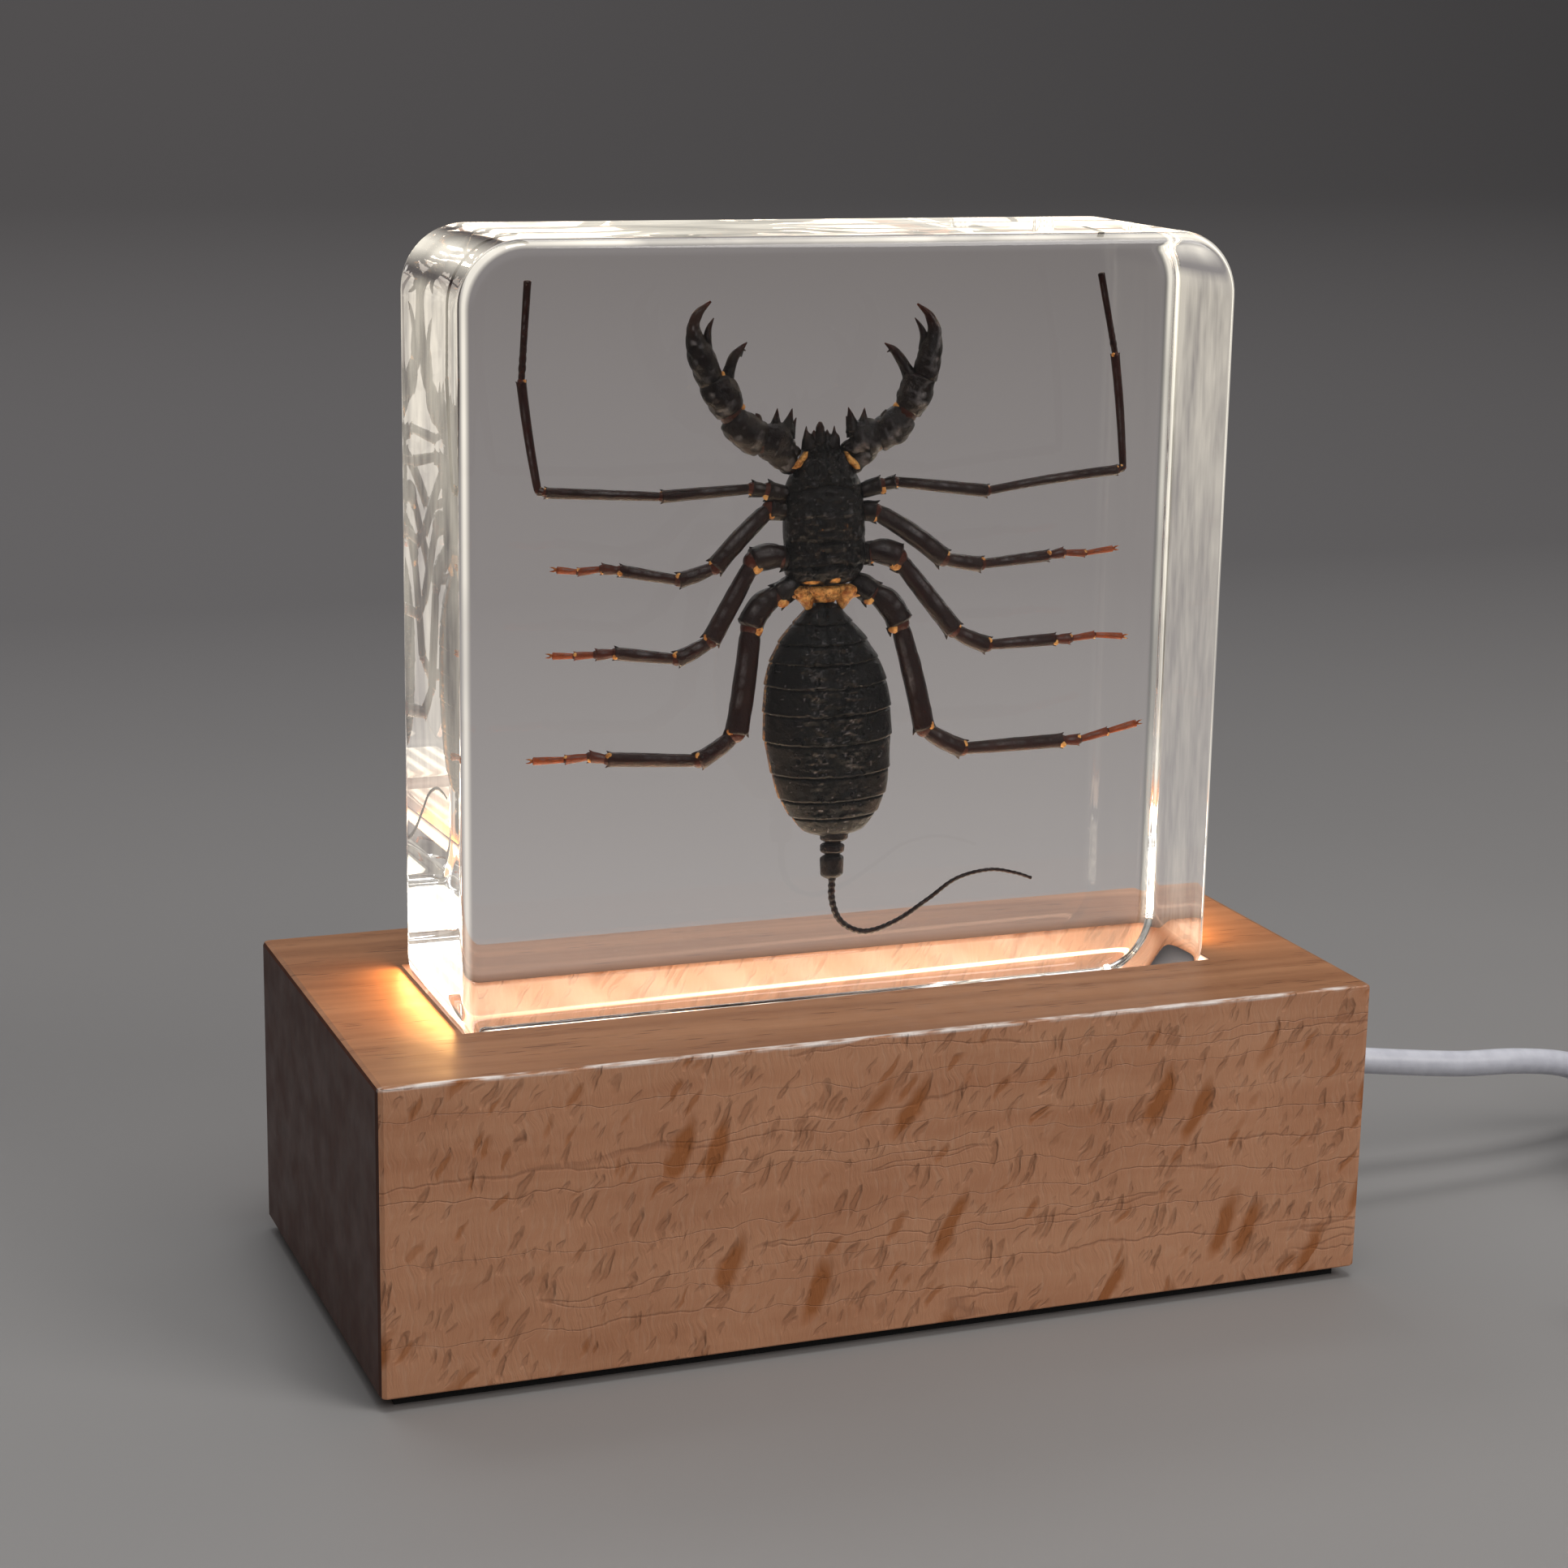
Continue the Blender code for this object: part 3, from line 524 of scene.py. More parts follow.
def floor_finish():
    """A pale table, darker far behind and in front of the picture, where it only mirrors in the block."""
    finish, shader, place = new_finish("pale_table", roughness=0.6)
    y = place.axes()[1]
    near = blend(noise(place, 9.0).fit(0.3, 0.7), (0.312, 0.303, 0.298), (0.332, 0.322, 0.317))
    shade = blend(y.fit(-0.10, 0.35), near, (0.122, 0.117, 0.119))
    shade = blend(y.fit(-0.11, -0.19), shade, (0.10, 0.10, 0.10))
    shade.to(shader, "Base Color")
    return finish


# Camera

def photograph_camera():
    """The solved camera: it looks along the azimuth, drops by its angle and rolls a little."""
    azimuth, drop, roll = (math.radians(angle) for angle in (CAMERA_AZIMUTH, CAMERA_DROP, CAMERA_ROLL))
    ahead = np.array((math.sin(azimuth), math.cos(azimuth), 0.0)) * math.cos(drop)
    ahead[2] = -math.sin(drop)
    level = np.array((math.cos(azimuth), -math.sin(azimuth), 0.0))
    above = np.cross(level, ahead)
    right = math.cos(roll) * level + math.sin(roll) * above
    up = -math.sin(roll) * level + math.cos(roll) * above
    columns = np.stack([right, up, -ahead, np.array(CAMERA_PLACE) * MM], 1)
    lens = bpy.data.cameras.new("photograph_view")
    lens.sensor_width = 36.0
    lens.lens = CAMERA_LENS
    lens.clip_start = 0.005
    lens.clip_end = 50.0
    camera = new_object("photograph_view", lens)
    camera.matrix_world = Matrix(np.vstack([columns, (0, 0, 0, 1)]).tolist())
    bpy.context.scene.camera = camera


# Cord

def cord_route():
    """The lead, then turns whose radius runs in and out as a triangle wave, each layer a diameter higher."""
    turns = np.linspace(0.0, COIL_TURNS, 560)
    per_layer = COIL_TURNS / COIL_LAYERS
    layer = np.minimum(np.floor(turns / per_layer), COIL_LAYERS - 1)
    share = turns / per_layer - layer
    inward = np.where(layer % 2 == 0, share, 1 - share)
    radius = COIL_OUTSIDE + (COIL_INSIDE - COIL_OUTSIDE) * inward
    settle = np.clip(turns * 360 / 60.0, 0.0, 1.0)
    radius = radius + COIL_LEAD_IN * (1 - settle ** 2 * (3 - 2 * settle))
    height = np.full_like(turns, CORD_DIAMETER / 2)
    for change in range(1, COIL_LAYERS):
        rise = np.clip((turns - per_layer * change) / 0.25 + 0.5, 0.0, 1.0)
        height = height + CORD_DIAMETER * rise ** 2 * (3 - 2 * rise)
    angle = np.radians(COIL_START) - 2 * math.pi * turns
    coil = np.stack([
        COIL_CENTRE[0] + radius * np.cos(angle), COIL_CENTRE[1] + radius * np.sin(angle), height,
    ], 1)
    lead = smooth_line(np.vstack([LEAD_ROUTE, coil[:1], coil[6:7]]), 6)[:-6]
    tail = smooth_line(np.vstack([coil[-7:-6], coil[-1:], TAIL_ROUTE]), 6)[6:]
    return np.vstack([lead[:-1], coil, tail[1:]])


def cord_piece(finish, plug):
    """The whole cord as one round curve, in the place of its three CAD stretches."""
    route = cord_route()
    curve = bpy.data.curves.new("cord", "CURVE")
    curve.dimensions = "3D"
    curve.bevel_depth = CORD_DIAMETER / 2 * MM
    curve.bevel_resolution = 4
    curve.use_fill_caps = True
    spline = curve.splines.new("POLY")
    spline.points.add(len(route) - 1)
    flat = np.hstack([route * MM, np.ones((len(route), 1))])
    spline.points.foreach_set("co", flat.ravel())
    spline.use_smooth = True
    cord = new_object("cord", curve)
    curve.materials.append(finish)
    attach(cord, "root")
    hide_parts("cord_lead", "cord_coil", "cord_tail")


# The clear block

def block_outline(inset):
    """Round the block: straight sides with quarter-circle corners, and a point close to each tangent."""
    half, radius = BLOCK_SIZE / 2 - inset, CORNER_RADIUS - inset
    angle = np.radians(np.linspace(0.0, 90.0, 17))
    arc = np.stack([half - radius + radius * np.cos(angle), half - radius + radius * np.sin(angle)], 1)
    ends = np.array(((half, half - radius - 0.4), (half - radius - 0.4, half)))
    corner = np.vstack([ends[:1], arc, ends[1:]])
    turns = np.radians((0, 90, 180, 270))
    quarters = [np.array(((math.cos(a), -math.sin(a)), (math.sin(a), math.cos(a)))) for a in turns]
    return np.vstack([corner @ quarter.T for quarter in quarters])


def resin_block(clear):
    """Outlines from front to back: drawn in at the rims by a quarter circle, full between them."""
    angle = np.radians(np.linspace(90.0, 0.0, 9))
    insets = RIM_RADIUS * (1 - np.cos(angle))
    depths = BLOCK_THICKNESS / 2 - RIM_RADIUS + RIM_RADIUS * np.sin(angle)
    insets = np.concatenate([[insets[0] + 0.4], insets, [0.0]])
    depths = np.concatenate([[depths[0]], depths, [depths[-1] - 0.4]])
    insets = np.concatenate([insets, insets[::-1]])
    depths = np.concatenate([-depths, depths[::-1]])
    rings = np.stack([
        np.insert(block_outline(inset), 1, depth, axis=1) for inset, depth in zip(insets, depths)
    ])
    rows, columns = rings.shape[:2]
    points = rings.reshape(-1, 3) + np.array((0.0, 0.0, BLOCK_MIDDLE))
    quads = grid_faces(rows, columns)[:, ::-1]
    caps = [list(range(columns)), list(range((rows - 1) * columns, rows * columns))[::-1]]
    mesh = bpy.data.meshes.new("resin_block")
    mesh.from_pydata((points * MM).tolist(), [], quads.tolist() + caps)
    mesh.materials.append(clear)
    mesh.polygons.foreach_set("use_smooth", np.concatenate([np.full(len(quads), True), [False, False]]))
    mesh.update()
    block = new_object("resin_block", mesh)
    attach(block, "root")
    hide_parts("resin_front", "resin_back")


# The specimen, in millimetres from the middle of the block, seen from the front

# Places on the limbs are where the photograph's line of sight meets the block's middle: x, z, how far
# towards the viewer the part lies (as a negative y), then width and sideways bow.
SIGHT = (0.42, -0.065)

# Measured against the photograph: how far all limbs move, right and down, and how much wider the legs are
LIMB_SHIFT = (0.16, -0.12)
LEG_SWELL = 1.05
LEG_EXTRA = 0.10
SPUR_WIDTHS = (0.26, 0.17, 0.03)
CLAW_WIDTHS = (0.24, 0.17, 0.03)
LEGS = {
    "left_feeler": ((-4.4, 13.5, 0.0), (
        (-6.7, 14.1, -0.5, 1.75, 0.02), (-8.2, 14.4, -0.8, 1.35, 0.0), (-16.8, 14.05, -1.1, 1.05, 0.0),
        (-27.9, 14.7, -0.5, 0.90, 0.0), (-28.6, 14.9, -0.4, 0.72, 0.0), (-30.2, 24.6, 0.0, 0.80, 0.01),
        (-29.65, 33.4, 0.2, 0.60, 0.0),
    )),
    "right_feeler": ((2.0, 13.4, 0.0), (
        (4.5, 14.2, -0.5, 1.55, 0.03), (6.0, 14.5, -0.8, 1.15, 0.0), (15.4, 13.35, -1.1, 1.10, 0.0),
        (28.8, 14.75, -0.5, 0.88, 0.01), (29.4, 15.0, -0.4, 0.74, 0.0), (28.05, 25.7, 0.0, 0.80, -0.01),
        (26.25, 33.3, 0.2, 0.60, 0.0),
    )),
    "left_second": ((-4.3, 12.0, 0.0), (
        (-6.5, 12.4, -0.4, 1.85, 0.0), (-11.6, 7.4, -1.2, 1.72, -0.02), (-15.1, 6.3, -1.1, 1.35, 0.02),
        (-20.9, 7.35, -0.5, 1.02, 0.0), (-22.6, 7.55, -0.4, 0.88, 0.0), (-24.9, 7.35, -0.2, 0.66, 0.0),
        (-26.9, 7.6, -0.1, 0.56, 0.0),
    )),
    "right_second": ((2.2, 11.9, 0.0), (
        (4.0, 11.7, -0.4, 1.85, 0.0), (11.1, 7.15, -1.2, 1.78, 0.025), (15.0, 6.4, -1.1, 1.35, -0.02),
        (21.9, 6.8, -0.5, 1.02, 0.0), (23.4, 7.0, -0.4, 0.90, 0.0), (25.7, 6.8, -0.2, 0.64, 0.0),
        (28.6, 7.1, -0.1, 0.52, 0.0),
    )),
    "left_third": ((-4.0, 7.7, 0.0), (
        (-5.2, 7.7, -0.3, 2.1, 0.0), (-8.0, 7.6, -0.7, 2.35, -0.10), (-11.9, 0.6, -1.4, 1.75, 0.0),
        (-15.2, -1.0, -1.2, 1.45, 0.03), (-21.3, -0.25, -0.6, 1.10, 0.0), (-23.1, -0.3, -0.5, 0.92, 0.0),
        (-25.2, -0.35, -0.3, 0.66, 0.0), (-27.3, -0.25, -0.2, 0.56, 0.0),
    )),
    "right_third": ((2.6, 7.7, 0.0), (
        (3.5, 7.8, -0.3, 2.1, 0.0), (6.4, 7.3, -0.7, 2.35, 0.10), (12.4, 0.3, -1.4, 1.78, 0.0),
        (15.9, -1.4, -1.2, 1.50, -0.03), (22.9, -1.35, -0.6, 1.08, 0.0), (24.5, -1.4, -0.5, 0.94, 0.0),
        (27.0, -1.2, -0.3, 0.64, 0.0), (30.0, -1.5, -0.2, 0.54, 0.0),
    )),
    "left_fourth": ((-3.6, 5.4, 0.0), (
        (-5.6, 4.2, -0.3, 2.3, 0.0), (-8.15, 1.55, -0.8, 2.40, -0.13), (-9.35, -8.35, -1.2, 2.12, 0.012),
        (-13.0, -10.75, -1.0, 1.62, 0.03), (-22.0, -10.2, -0.3, 1.26, 0.0), (-23.8, -9.85, -0.2, 0.98, 0.0),
        (-26.1, -10.0, -0.1, 0.74, 0.0), (-29.2, -9.95, 0.0, 0.62, 0.0),
    )),
    "right_fourth": ((2.0, 5.2, 0.0), (
        (3.8, 4.0, -0.3, 2.3, 0.0), (6.7, 1.1, -0.8, 2.40, 0.11), (9.6, -9.1, -1.2, 2.00, 0.012),
        (13.6, -11.4, -1.0, 1.66, -0.03), (24.0, -11.45, -0.3, 1.28, 0.0), (25.8, -11.5, -0.2, 0.98, 0.0),
        (28.8, -10.9, -0.1, 0.74, 0.0), (31.9, -10.3, 0.0, 0.64, 0.0),
    )),
}
PINCERS = {
    "left_pincer": (
        ((-4.4, 15.6, 1.3), (-4.8, 16.6, 2.2), (-5.5, 17.6, 3.0), (-5.9, 18.6, 3.1)),
        ((-3.5, 17.6, 0.9), (-4.6, 17.8, 1.7), (-5.7, 18.6, 3.5), (-6.7, 18.8, 3.3), (-7.5, 19.0, 2.6)),
        ((-6.9, 18.5, 2.6), (-8.0, 19.2, 3.2), (-9.3, 20.2, 3.2), (-10.3, 21.3, 2.5)),
        ((-10.2, 21.2, 2.6), (-10.8, 22.3, 3.15), (-11.4, 23.6, 3.2), (-11.8, 24.7, 2.9)),
        ((-11.9, 24.1, 2.4), (-12.8, 25.7, 2.6), (-13.35, 27.1, 2.35), (-13.7, 28.2, 1.75),
         (-13.85, 29.4, 1.15), (-13.4, 30.5, 0.85), (-12.3, 31.5, 0.20)),
    ),
    "right_pincer": (
        ((1.7, 15.4, 1.2), (2.0, 16.4, 2.0), (2.5, 17.4, 2.8), (2.9, 18.4, 3.0)),
        ((0.5, 18.0, 0.9), (1.6, 18.0, 1.8), (2.6, 18.6, 3.5), (3.6, 18.8, 3.3), (4.4, 18.9, 2.6)),
        ((3.8, 18.4, 2.6), (4.9, 19.1, 3.2), (6.0, 19.9, 3.2), (7.0, 21.0, 2.5)),
        ((6.9, 20.9, 2.6), (7.5, 22.0, 3.2), (7.95, 23.3, 3.3), (8.3, 24.5, 3.0)),
        ((8.5, 23.9, 2.4), (9.0, 25.3, 2.5), (9.3, 26.7, 2.15), (9.55, 27.9, 1.6), (9.45, 29.0, 1.1),
         (8.9, 30.0, 0.75), (7.8, 30.95, 0.18)),
    ),
}
HORNS = (
    ((-12.6, 26.9, 1.0), (-12.65, 28.1, 0.85), (-12.5, 29.1, 0.55), (-12.05, 30.0, 0.10)),
    ((-10.9, 24.0, 1.7), (-10.5, 25.3, 1.15), (-10.1, 26.4, 1.0), (-9.5, 27.1, 0.70), (-8.85, 27.75, 0.12)),
    ((-9.6, 26.6, 0.65), (-9.25, 27.05, 0.30), (-8.95, 27.0, 0.08)),
    ((8.4, 26.7, 0.9), (8.5, 27.9, 0.8), (8.15, 28.8, 0.50), (7.55, 29.65, 0.10)),
    ((7.5, 23.8, 1.8), (6.8, 25.0, 1.2), (6.15, 26.0, 1.0), (5.45, 26.8, 0.72), (4.6, 27.4, 0.12)),
    ((5.7, 26.4, 0.65), (5.2, 26.7, 0.30), (4.85, 26.55, 0.08)),
    ((-6.0, 19.6, 1.7), (-5.9, 20.7, 0.75), (-5.8, 21.7, 0.08)),
    ((-4.9, 19.6, 1.7), (-4.6, 20.7, 0.75), (-4.35, 21.65, 0.08)),
    ((-4.6, 19.0, 1.2), (-4.25, 20.0, 0.55), (-3.95, 20.8, 0.08)),
    ((-7.9, 20.2, 1.6), (-7.7, 20.9, 0.8), (-7.9, 21.3, 0.10)),
    ((1.7, 19.4, 1.6), (1.4, 20.7, 0.75), (1.15, 21.6, 0.08)),
    ((2.6, 19.6, 1.6), (2.7, 20.6, 0.75), (2.75, 21.5, 0.08)),
    ((1.6, 19.0, 1.2), (1.2, 20.0, 0.55), (0.95, 20.8, 0.08)),
    ((4.9, 20.0, 1.6), (4.7, 20.7, 0.8), (4.9, 21.3, 0.10)),
    ((-2.6, 18.0, 1.7), (-2.8, 18.9, 1.1), (-2.95, 19.4, 0.45), (-2.95, 20.0, 0.06)),
    ((-0.4, 18.0, 1.7), (-0.15, 18.8, 1.1), (-0.2, 19.3, 0.45), (-0.2, 19.95, 0.06)),
    ((-1.6, 18.4, 1.5), (-1.6, 19.4, 0.95), (-1.6, 19.9, 0.8), (-1.6, 20.35, 0.30)),
    ((-2.1, 18.4, 0.9), (-2.2, 19.2, 0.5), (-2.2, 19.6, 0.10)),
    ((-1.0, 18.4, 0.9), (-0.9, 19.2, 0.5), (-0.9, 19.6, 0.10)),
)
PROSOMA = (
    (19.3, -1.5, 0.9, 0.8), (18.4, -1.5, 1.6, 1.2), (17.2, -1.35, 2.1, 1.5), (16.0, -1.25, 2.7, 1.8),
    (15.0, -1.2, 3.35, 2.1), (14.0, -1.17, 3.75, 2.3), (12.5, -1.15, 3.9, 2.5), (10.0, -1.02, 4.0, 2.55),
    (8.5, -0.92, 3.97, 2.5), (7.0, -0.92, 3.93, 2.35), (6.0, -1.05, 3.7, 2.2), (5.3, -1.05, 3.1, 1.9),
    (4.7, -1.0, 2.4, 1.5),
)
ABDOMEN = (
    (3.5, -0.9, 0.8, 0.8), (2.9, -0.95, 1.5, 1.4), (2.0, -1.0, 2.3, 1.8), (1.0, -1.0, 3.25, 2.2),
    (0.0, -0.95, 4.1, 2.5), (-1.0, -0.9, 4.7, 2.7), (-2.5, -0.75, 5.5, 2.9), (-4.0, -0.6, 5.95, 3.0),
    (-6.0, -0.42, 6.27, 3.1), (-9.0, -0.28, 6.38, 3.1), (-11.0, -0.13, 6.15, 3.0), (-13.0, 0.10, 5.85, 2.85),
    (-14.5, 0.25, 5.55, 2.7), (-16.0, 0.38, 4.95, 2.5), (-17.5, 0.48, 4.05, 2.1), (-18.6, 0.52, 3.1, 1.7),
    (-19.4, 0.55, 1.9, 1.2),
)
PLATE_EDGES = (1.3, -0.6, -2.5, -4.8, -7.4, -10.2, -13.3, -15.7, -17.4)
TAIL_RINGS = (
    ((-18.6, 0.60, 1.45), (-20.0, 0.60, 1.38)), ((-19.9, 0.47, 1.25), (-21.2, 0.40, 1.20)),
    ((-21.1, 0.40, 1.22), (-23.5, 0.45, 1.12)),
)
WHIP_ROUTE = (
    (0.5, -23.0), (0.55, -25.8), (1.6, -28.0), (4.0, -29.1), (7.2, -28.3), (10.5, -26.4), (13.4, -24.6),
    (16.8, -24.0), (19.5, -24.5), (21.4, -25.2),
)


def trunk_grid(stations, rows, columns, power):
    """Rings of a trunk from its stations: height, middle, half width, half depth.

    A ring is the closed curve cos(turn) and sin(turn), each raised to the power and signed.
    """
    stations = np.array(stations)
    line = smooth_line(stations, 12)
    share = np.linspace(0.0, 1.0, rows)
    share = share - 0.10 * np.sin(2 * math.pi * share) / math.pi
    heights = line[0, 0] + (line[-1, 0] - line[0, 0]) * share
    middle, width, depth = (np.interp(-heights, -line[:, 0], line[:, k]) for k in (1, 2, 3))
    ends = rounded_ends(np.abs(heights - heights[0]), 0.8, 0.25)
    turn = full_turn(columns)
    across = np.sign(np.cos(turn)) * np.abs(np.cos(turn)) ** power
    facing = np.sign(np.sin(turn)) * np.abs(np.sin(turn)) ** power
    x = middle[:, None] + (width * ends)[:, None] * across
    y = -(depth * ends)[:, None] * facing
    return x, y, np.broadcast_to(heights[:, None], x.shape).copy(), middle[:, None], facing, across


def groove(distance, width):
    """1 in the middle of a groove, falling off as a bell curve."""
    return np.exp(-(distance / width) ** 2)


def ridged(u, v, seed):
    """Sharp-crested folds: one less the size of lattice noise, at two scales."""
    fine = np.abs(lattice_noise(u * 2.3, v * 2.3, seed + 1))
    return 1 - np.abs(lattice_noise(u, v, seed)) * 1.6 - fine * 0.5


def prosoma():
    """The front trunk: grooves down its middle and across it, low lobes between, fine folds all over."""
    x, y, z, middle, facing, across = trunk_grid(PROSOMA, 190, 150, 0.86)
    front = np.clip(facing, 0.0, 1.0) ** 0.5
    off = x - middle
    cut = 0.30 * groove(off + 0.05 * lattice_noise(z * 1.3, z * 0, 5), 0.14)
    for height, bend in ((14.3, 0.16), (9.0, -0.05), (6.9, 0.06)):
        waver = 0.12 * lattice_noise(off * 1.1 + 7, z * 0 + height, 8)
        cut = cut + 0.28 * groove(z - height + bend * np.abs(off) + waver, 0.17)
    cut = cut + 0.22 * groove(np.abs(off) - 2.3 - 0.1 * (z - 9.0), 0.18) * (z < 12.5) * (z > 6.0)
    lobes = 0.38 * np.cos(off * 1.45) ** 2 * np.cos((z - 11.6) * 0.62) ** 2
    folds = 0.20 * ridged(off * 1.5 + 20, z * 1.5 + 20, 11)
    folds = folds + 0.09 * lattice_noise(off * 4.2 + 30, z * 4.2 + 30, 12)
    y = y - front * (lobes + folds - cut)
    patch = np.zeros_like(x)
    for side, height, wide, tall, shade in (
        (-0.95, 10.1, 0.55, 0.75, 0.42), (1.75, 10.2, 0.6, 0.8, 0.45), (-0.8, 8.1, 0.5, 0.55, 0.33),
        (2.0, 8.2, 0.6, 0.4, 0.34), (-1.5, 5.3, 1.1, 0.28, 0.9), (0.8, 5.45, 0.75, 0.35, 0.9),
    ):
        away = ((off - side) / wide) ** 2 + ((z - height) / tall) ** 2
        patch = np.maximum(patch, shade * np.exp(-away ** 2))
    # paler ridges and lobe tops on the front: partly wear, partly painted highlight
    wear_and_highlight = np.clip(1.9 * (ridged(off * 1.9 + 20, z * 1.7 + 20, 11) - 0.62), 0, 1)
    wear_and_highlight = wear_and_highlight + 0.6 * np.clip(lobes / 0.38 - 0.55, 0, 1)
    wear_and_highlight = np.clip(wear_and_highlight, 0, 1) * front * (1 - np.clip(cut * 4, 0, 1))
    web = np.where(patch * front > 0.08, patch * front, -wear_and_highlight)
    return closed_surface(np.stack([x, y, z], -1), 0.06 + 0.15 * np.clip(-facing, 0, 1), web)


def abdomen():
    """The rear trunk: plates that step down at their rear edges, a midline, and folds and scars near it."""
    x, y, z, middle, facing, across = trunk_grid(ABDOMEN, 330, 200, 0.9)
    front = np.clip(facing, 0.0, 1.0) ** 0.5
    off = x - middle
    edges = np.array(PLATE_EDGES)
    step = np.zeros_like(x)
    cut = np.zeros_like(x)
    for edge in edges:
        away = z - edge + 0.05 * lattice_noise(off * 1.4 + 11, off * 0 + edge, 21) - 0.012 * off ** 2
        step = step + 0.16 * np.exp(-np.clip(away, 0, None) / 0.9) * (away > 0)
        cut = cut + 0.20 * groove(away + 0.05, 0.11)
    midline = groove(off + 0.04 * lattice_noise(z * 1.5 + 3, z * 0, 22), 0.11)
    cut = cut + 0.24 * midline * np.clip((z + 16) / 6, 0.15, 1)
    near = np.exp(-((np.abs(off) - 1.5) / 1.25) ** 2)
    near = near * np.clip((2.5 - z) / 3, 0, 1) * np.clip((z + 17) / 6, 0.25, 1)
    folds = 0.34 * ridged(off * 1.9 + 15, z * 1.5 + 40, 31)
    folds = near * (folds + 0.07 * lattice_noise(off * 5 + 9, z * 4 + 50, 33))
    folds = folds + 0.05 * lattice_noise(off * 2.2 + 20, z * 2.2 + 30, 34)
    scars = np.zeros_like(x)
    for edge, following in zip(edges[:-1], edges[1:]):
        for side in (-1.9, 1.9):
            spot = ((off - side) / 0.20) ** 2 + ((z - 0.5 * (edge + following)) / 0.26) ** 2
            scars = scars + 0.16 * np.exp(-spot)
    y = y - front * (step + folds - cut - scars)
    x = x + np.sign(across) * np.abs(across) ** 3 * (0.9 * step - 0.55 * cut)
    rim = np.clip((np.abs(across) - 0.975) / 0.02, 0, 1) * 0.62 * (facing > -0.6)
    # paler ridges and specks near the midline on the front: partly wear, partly painted highlight
    wear_and_highlight = near * np.clip(2.2 * (ridged(off * 2.3 + 15, z * 1.9 + 40, 35) - 0.55), 0, 1)
    specks = np.clip(6 * (lattice_noise(off * 3.1 + 21, z * 3.1 + 60, 37) - 0.80), 0, 1)
    wear_and_highlight = np.clip(wear_and_highlight + specks, 0, 1) * front * (1 - np.clip(cut * 5, 0, 1))
    web = np.where(rim > 0.05, rim, -wear_and_highlight)
    return closed_surface(np.stack([x, y, z], -1), 0.25 * np.clip(-facing, 0, 1), web)


def at_depth(x, z, y):
    """A place on the block's middle carried along the line of sight to its own depth."""
    return np.array((x + LIMB_SHIFT[0] + SIGHT[0] * y, y, z + LIMB_SHIFT[1] - SIGHT[1] * y))


def leg_segment(start, end, width, tone, seed, bow=0.0):
    """One leg segment: a narrow neck, a long body that swells, and a blunt flared end."""
    length = np.linalg.norm(end - start)
    share = 0.5 - 0.5 * np.cos(np.linspace(0.0, math.pi, 30))
    line = start + (end - start) * share[:, None]
    side = np.cross(unit(end - start), (0.0, 1.0, 0.0))
    line = line + side * (bow * length * np.sin(math.pi * share))[:, None]
    run = share * length
    neck = np.minimum(0.5 * width, 0.25 * length)
    slim = np.clip(1.4 - width * 0.5, 0.0, 1.0)
    stops = (0.0, neck * 0.6, neck * 1.3, 0.5 * length, max(length - 0.45 * width, 0.75 * length), length)
    shape = np.interp(run, stops, (0.62, 0.76, 0.93 - 0.14 * slim, 1.0 - 0.10 * slim, 0.98, 1.04))
    shape = shape * rounded_ends(run, min(0.16 * width, 0.2 * length), 0.35)
    turn = full_turn(24)
    relief = 0.035 * lattice_noise(np.cos(turn) * 1.5 + 8, run[:, None] * 1.7 + np.sin(turn) + 8, seed)
    way = unit(end - start)
    # painted highlight: a paler streak along each segment's front side, tilted up, passed on as negative web
    crest = groove(turn - math.pi / 2 + 0.42 * np.sign(way[0] + 0.5 * way[2]), 0.24)
    crest = crest * np.clip(4 * share * (1 - share) - 0.15, 0, 1)[:, None]
    crest = crest * np.clip(0.55 + 0.6 * lattice_noise(turn + 5, run[:, None] * 2.1 + 9, seed + 2), 0, 1)
    return tube(line, width * shape, 0.88 * width * shape, 24, tone, -crest, 0.035, relief)


def horn(stations, depth, tone_root=0.15, tone_tip=0.55, web=0.0):
    """A tapering spine along its stations, redder towards its tip."""
    stations = smooth_line([(*at_depth(x, z, depth), width) for x, z, width in stations], 6)
    run = steps_along(stations[:, :3])
    widths = stations[:, 3]
    tone = np.interp(run / run[-1], (0.3, 1.0), (tone_root, tone_tip))
    return tube(stations[:, :3], widths, 0.9 * widths, 12, tone, web)


def joint_skin(joint, before, after, width, seed):
    """A sliver of soft skin on the inner side of a bend, and a dark red ring of it all round."""
    inner = unit(after - before)
    size = 0.46 * width
    ring = blob(joint + (0, -0.02, 0), (0.80 * width, 0.72 * width, 0.80 * width), 0.62, 0.30, seed, 0.05)
    spot = joint + inner * 0.24 * width + (0, -0.20 * width, 0)
    sliver = blob(spot, (size, size * 0.7, size), 0.4, 1.0, seed + 3, 0.3)
    return [ring, sliver]


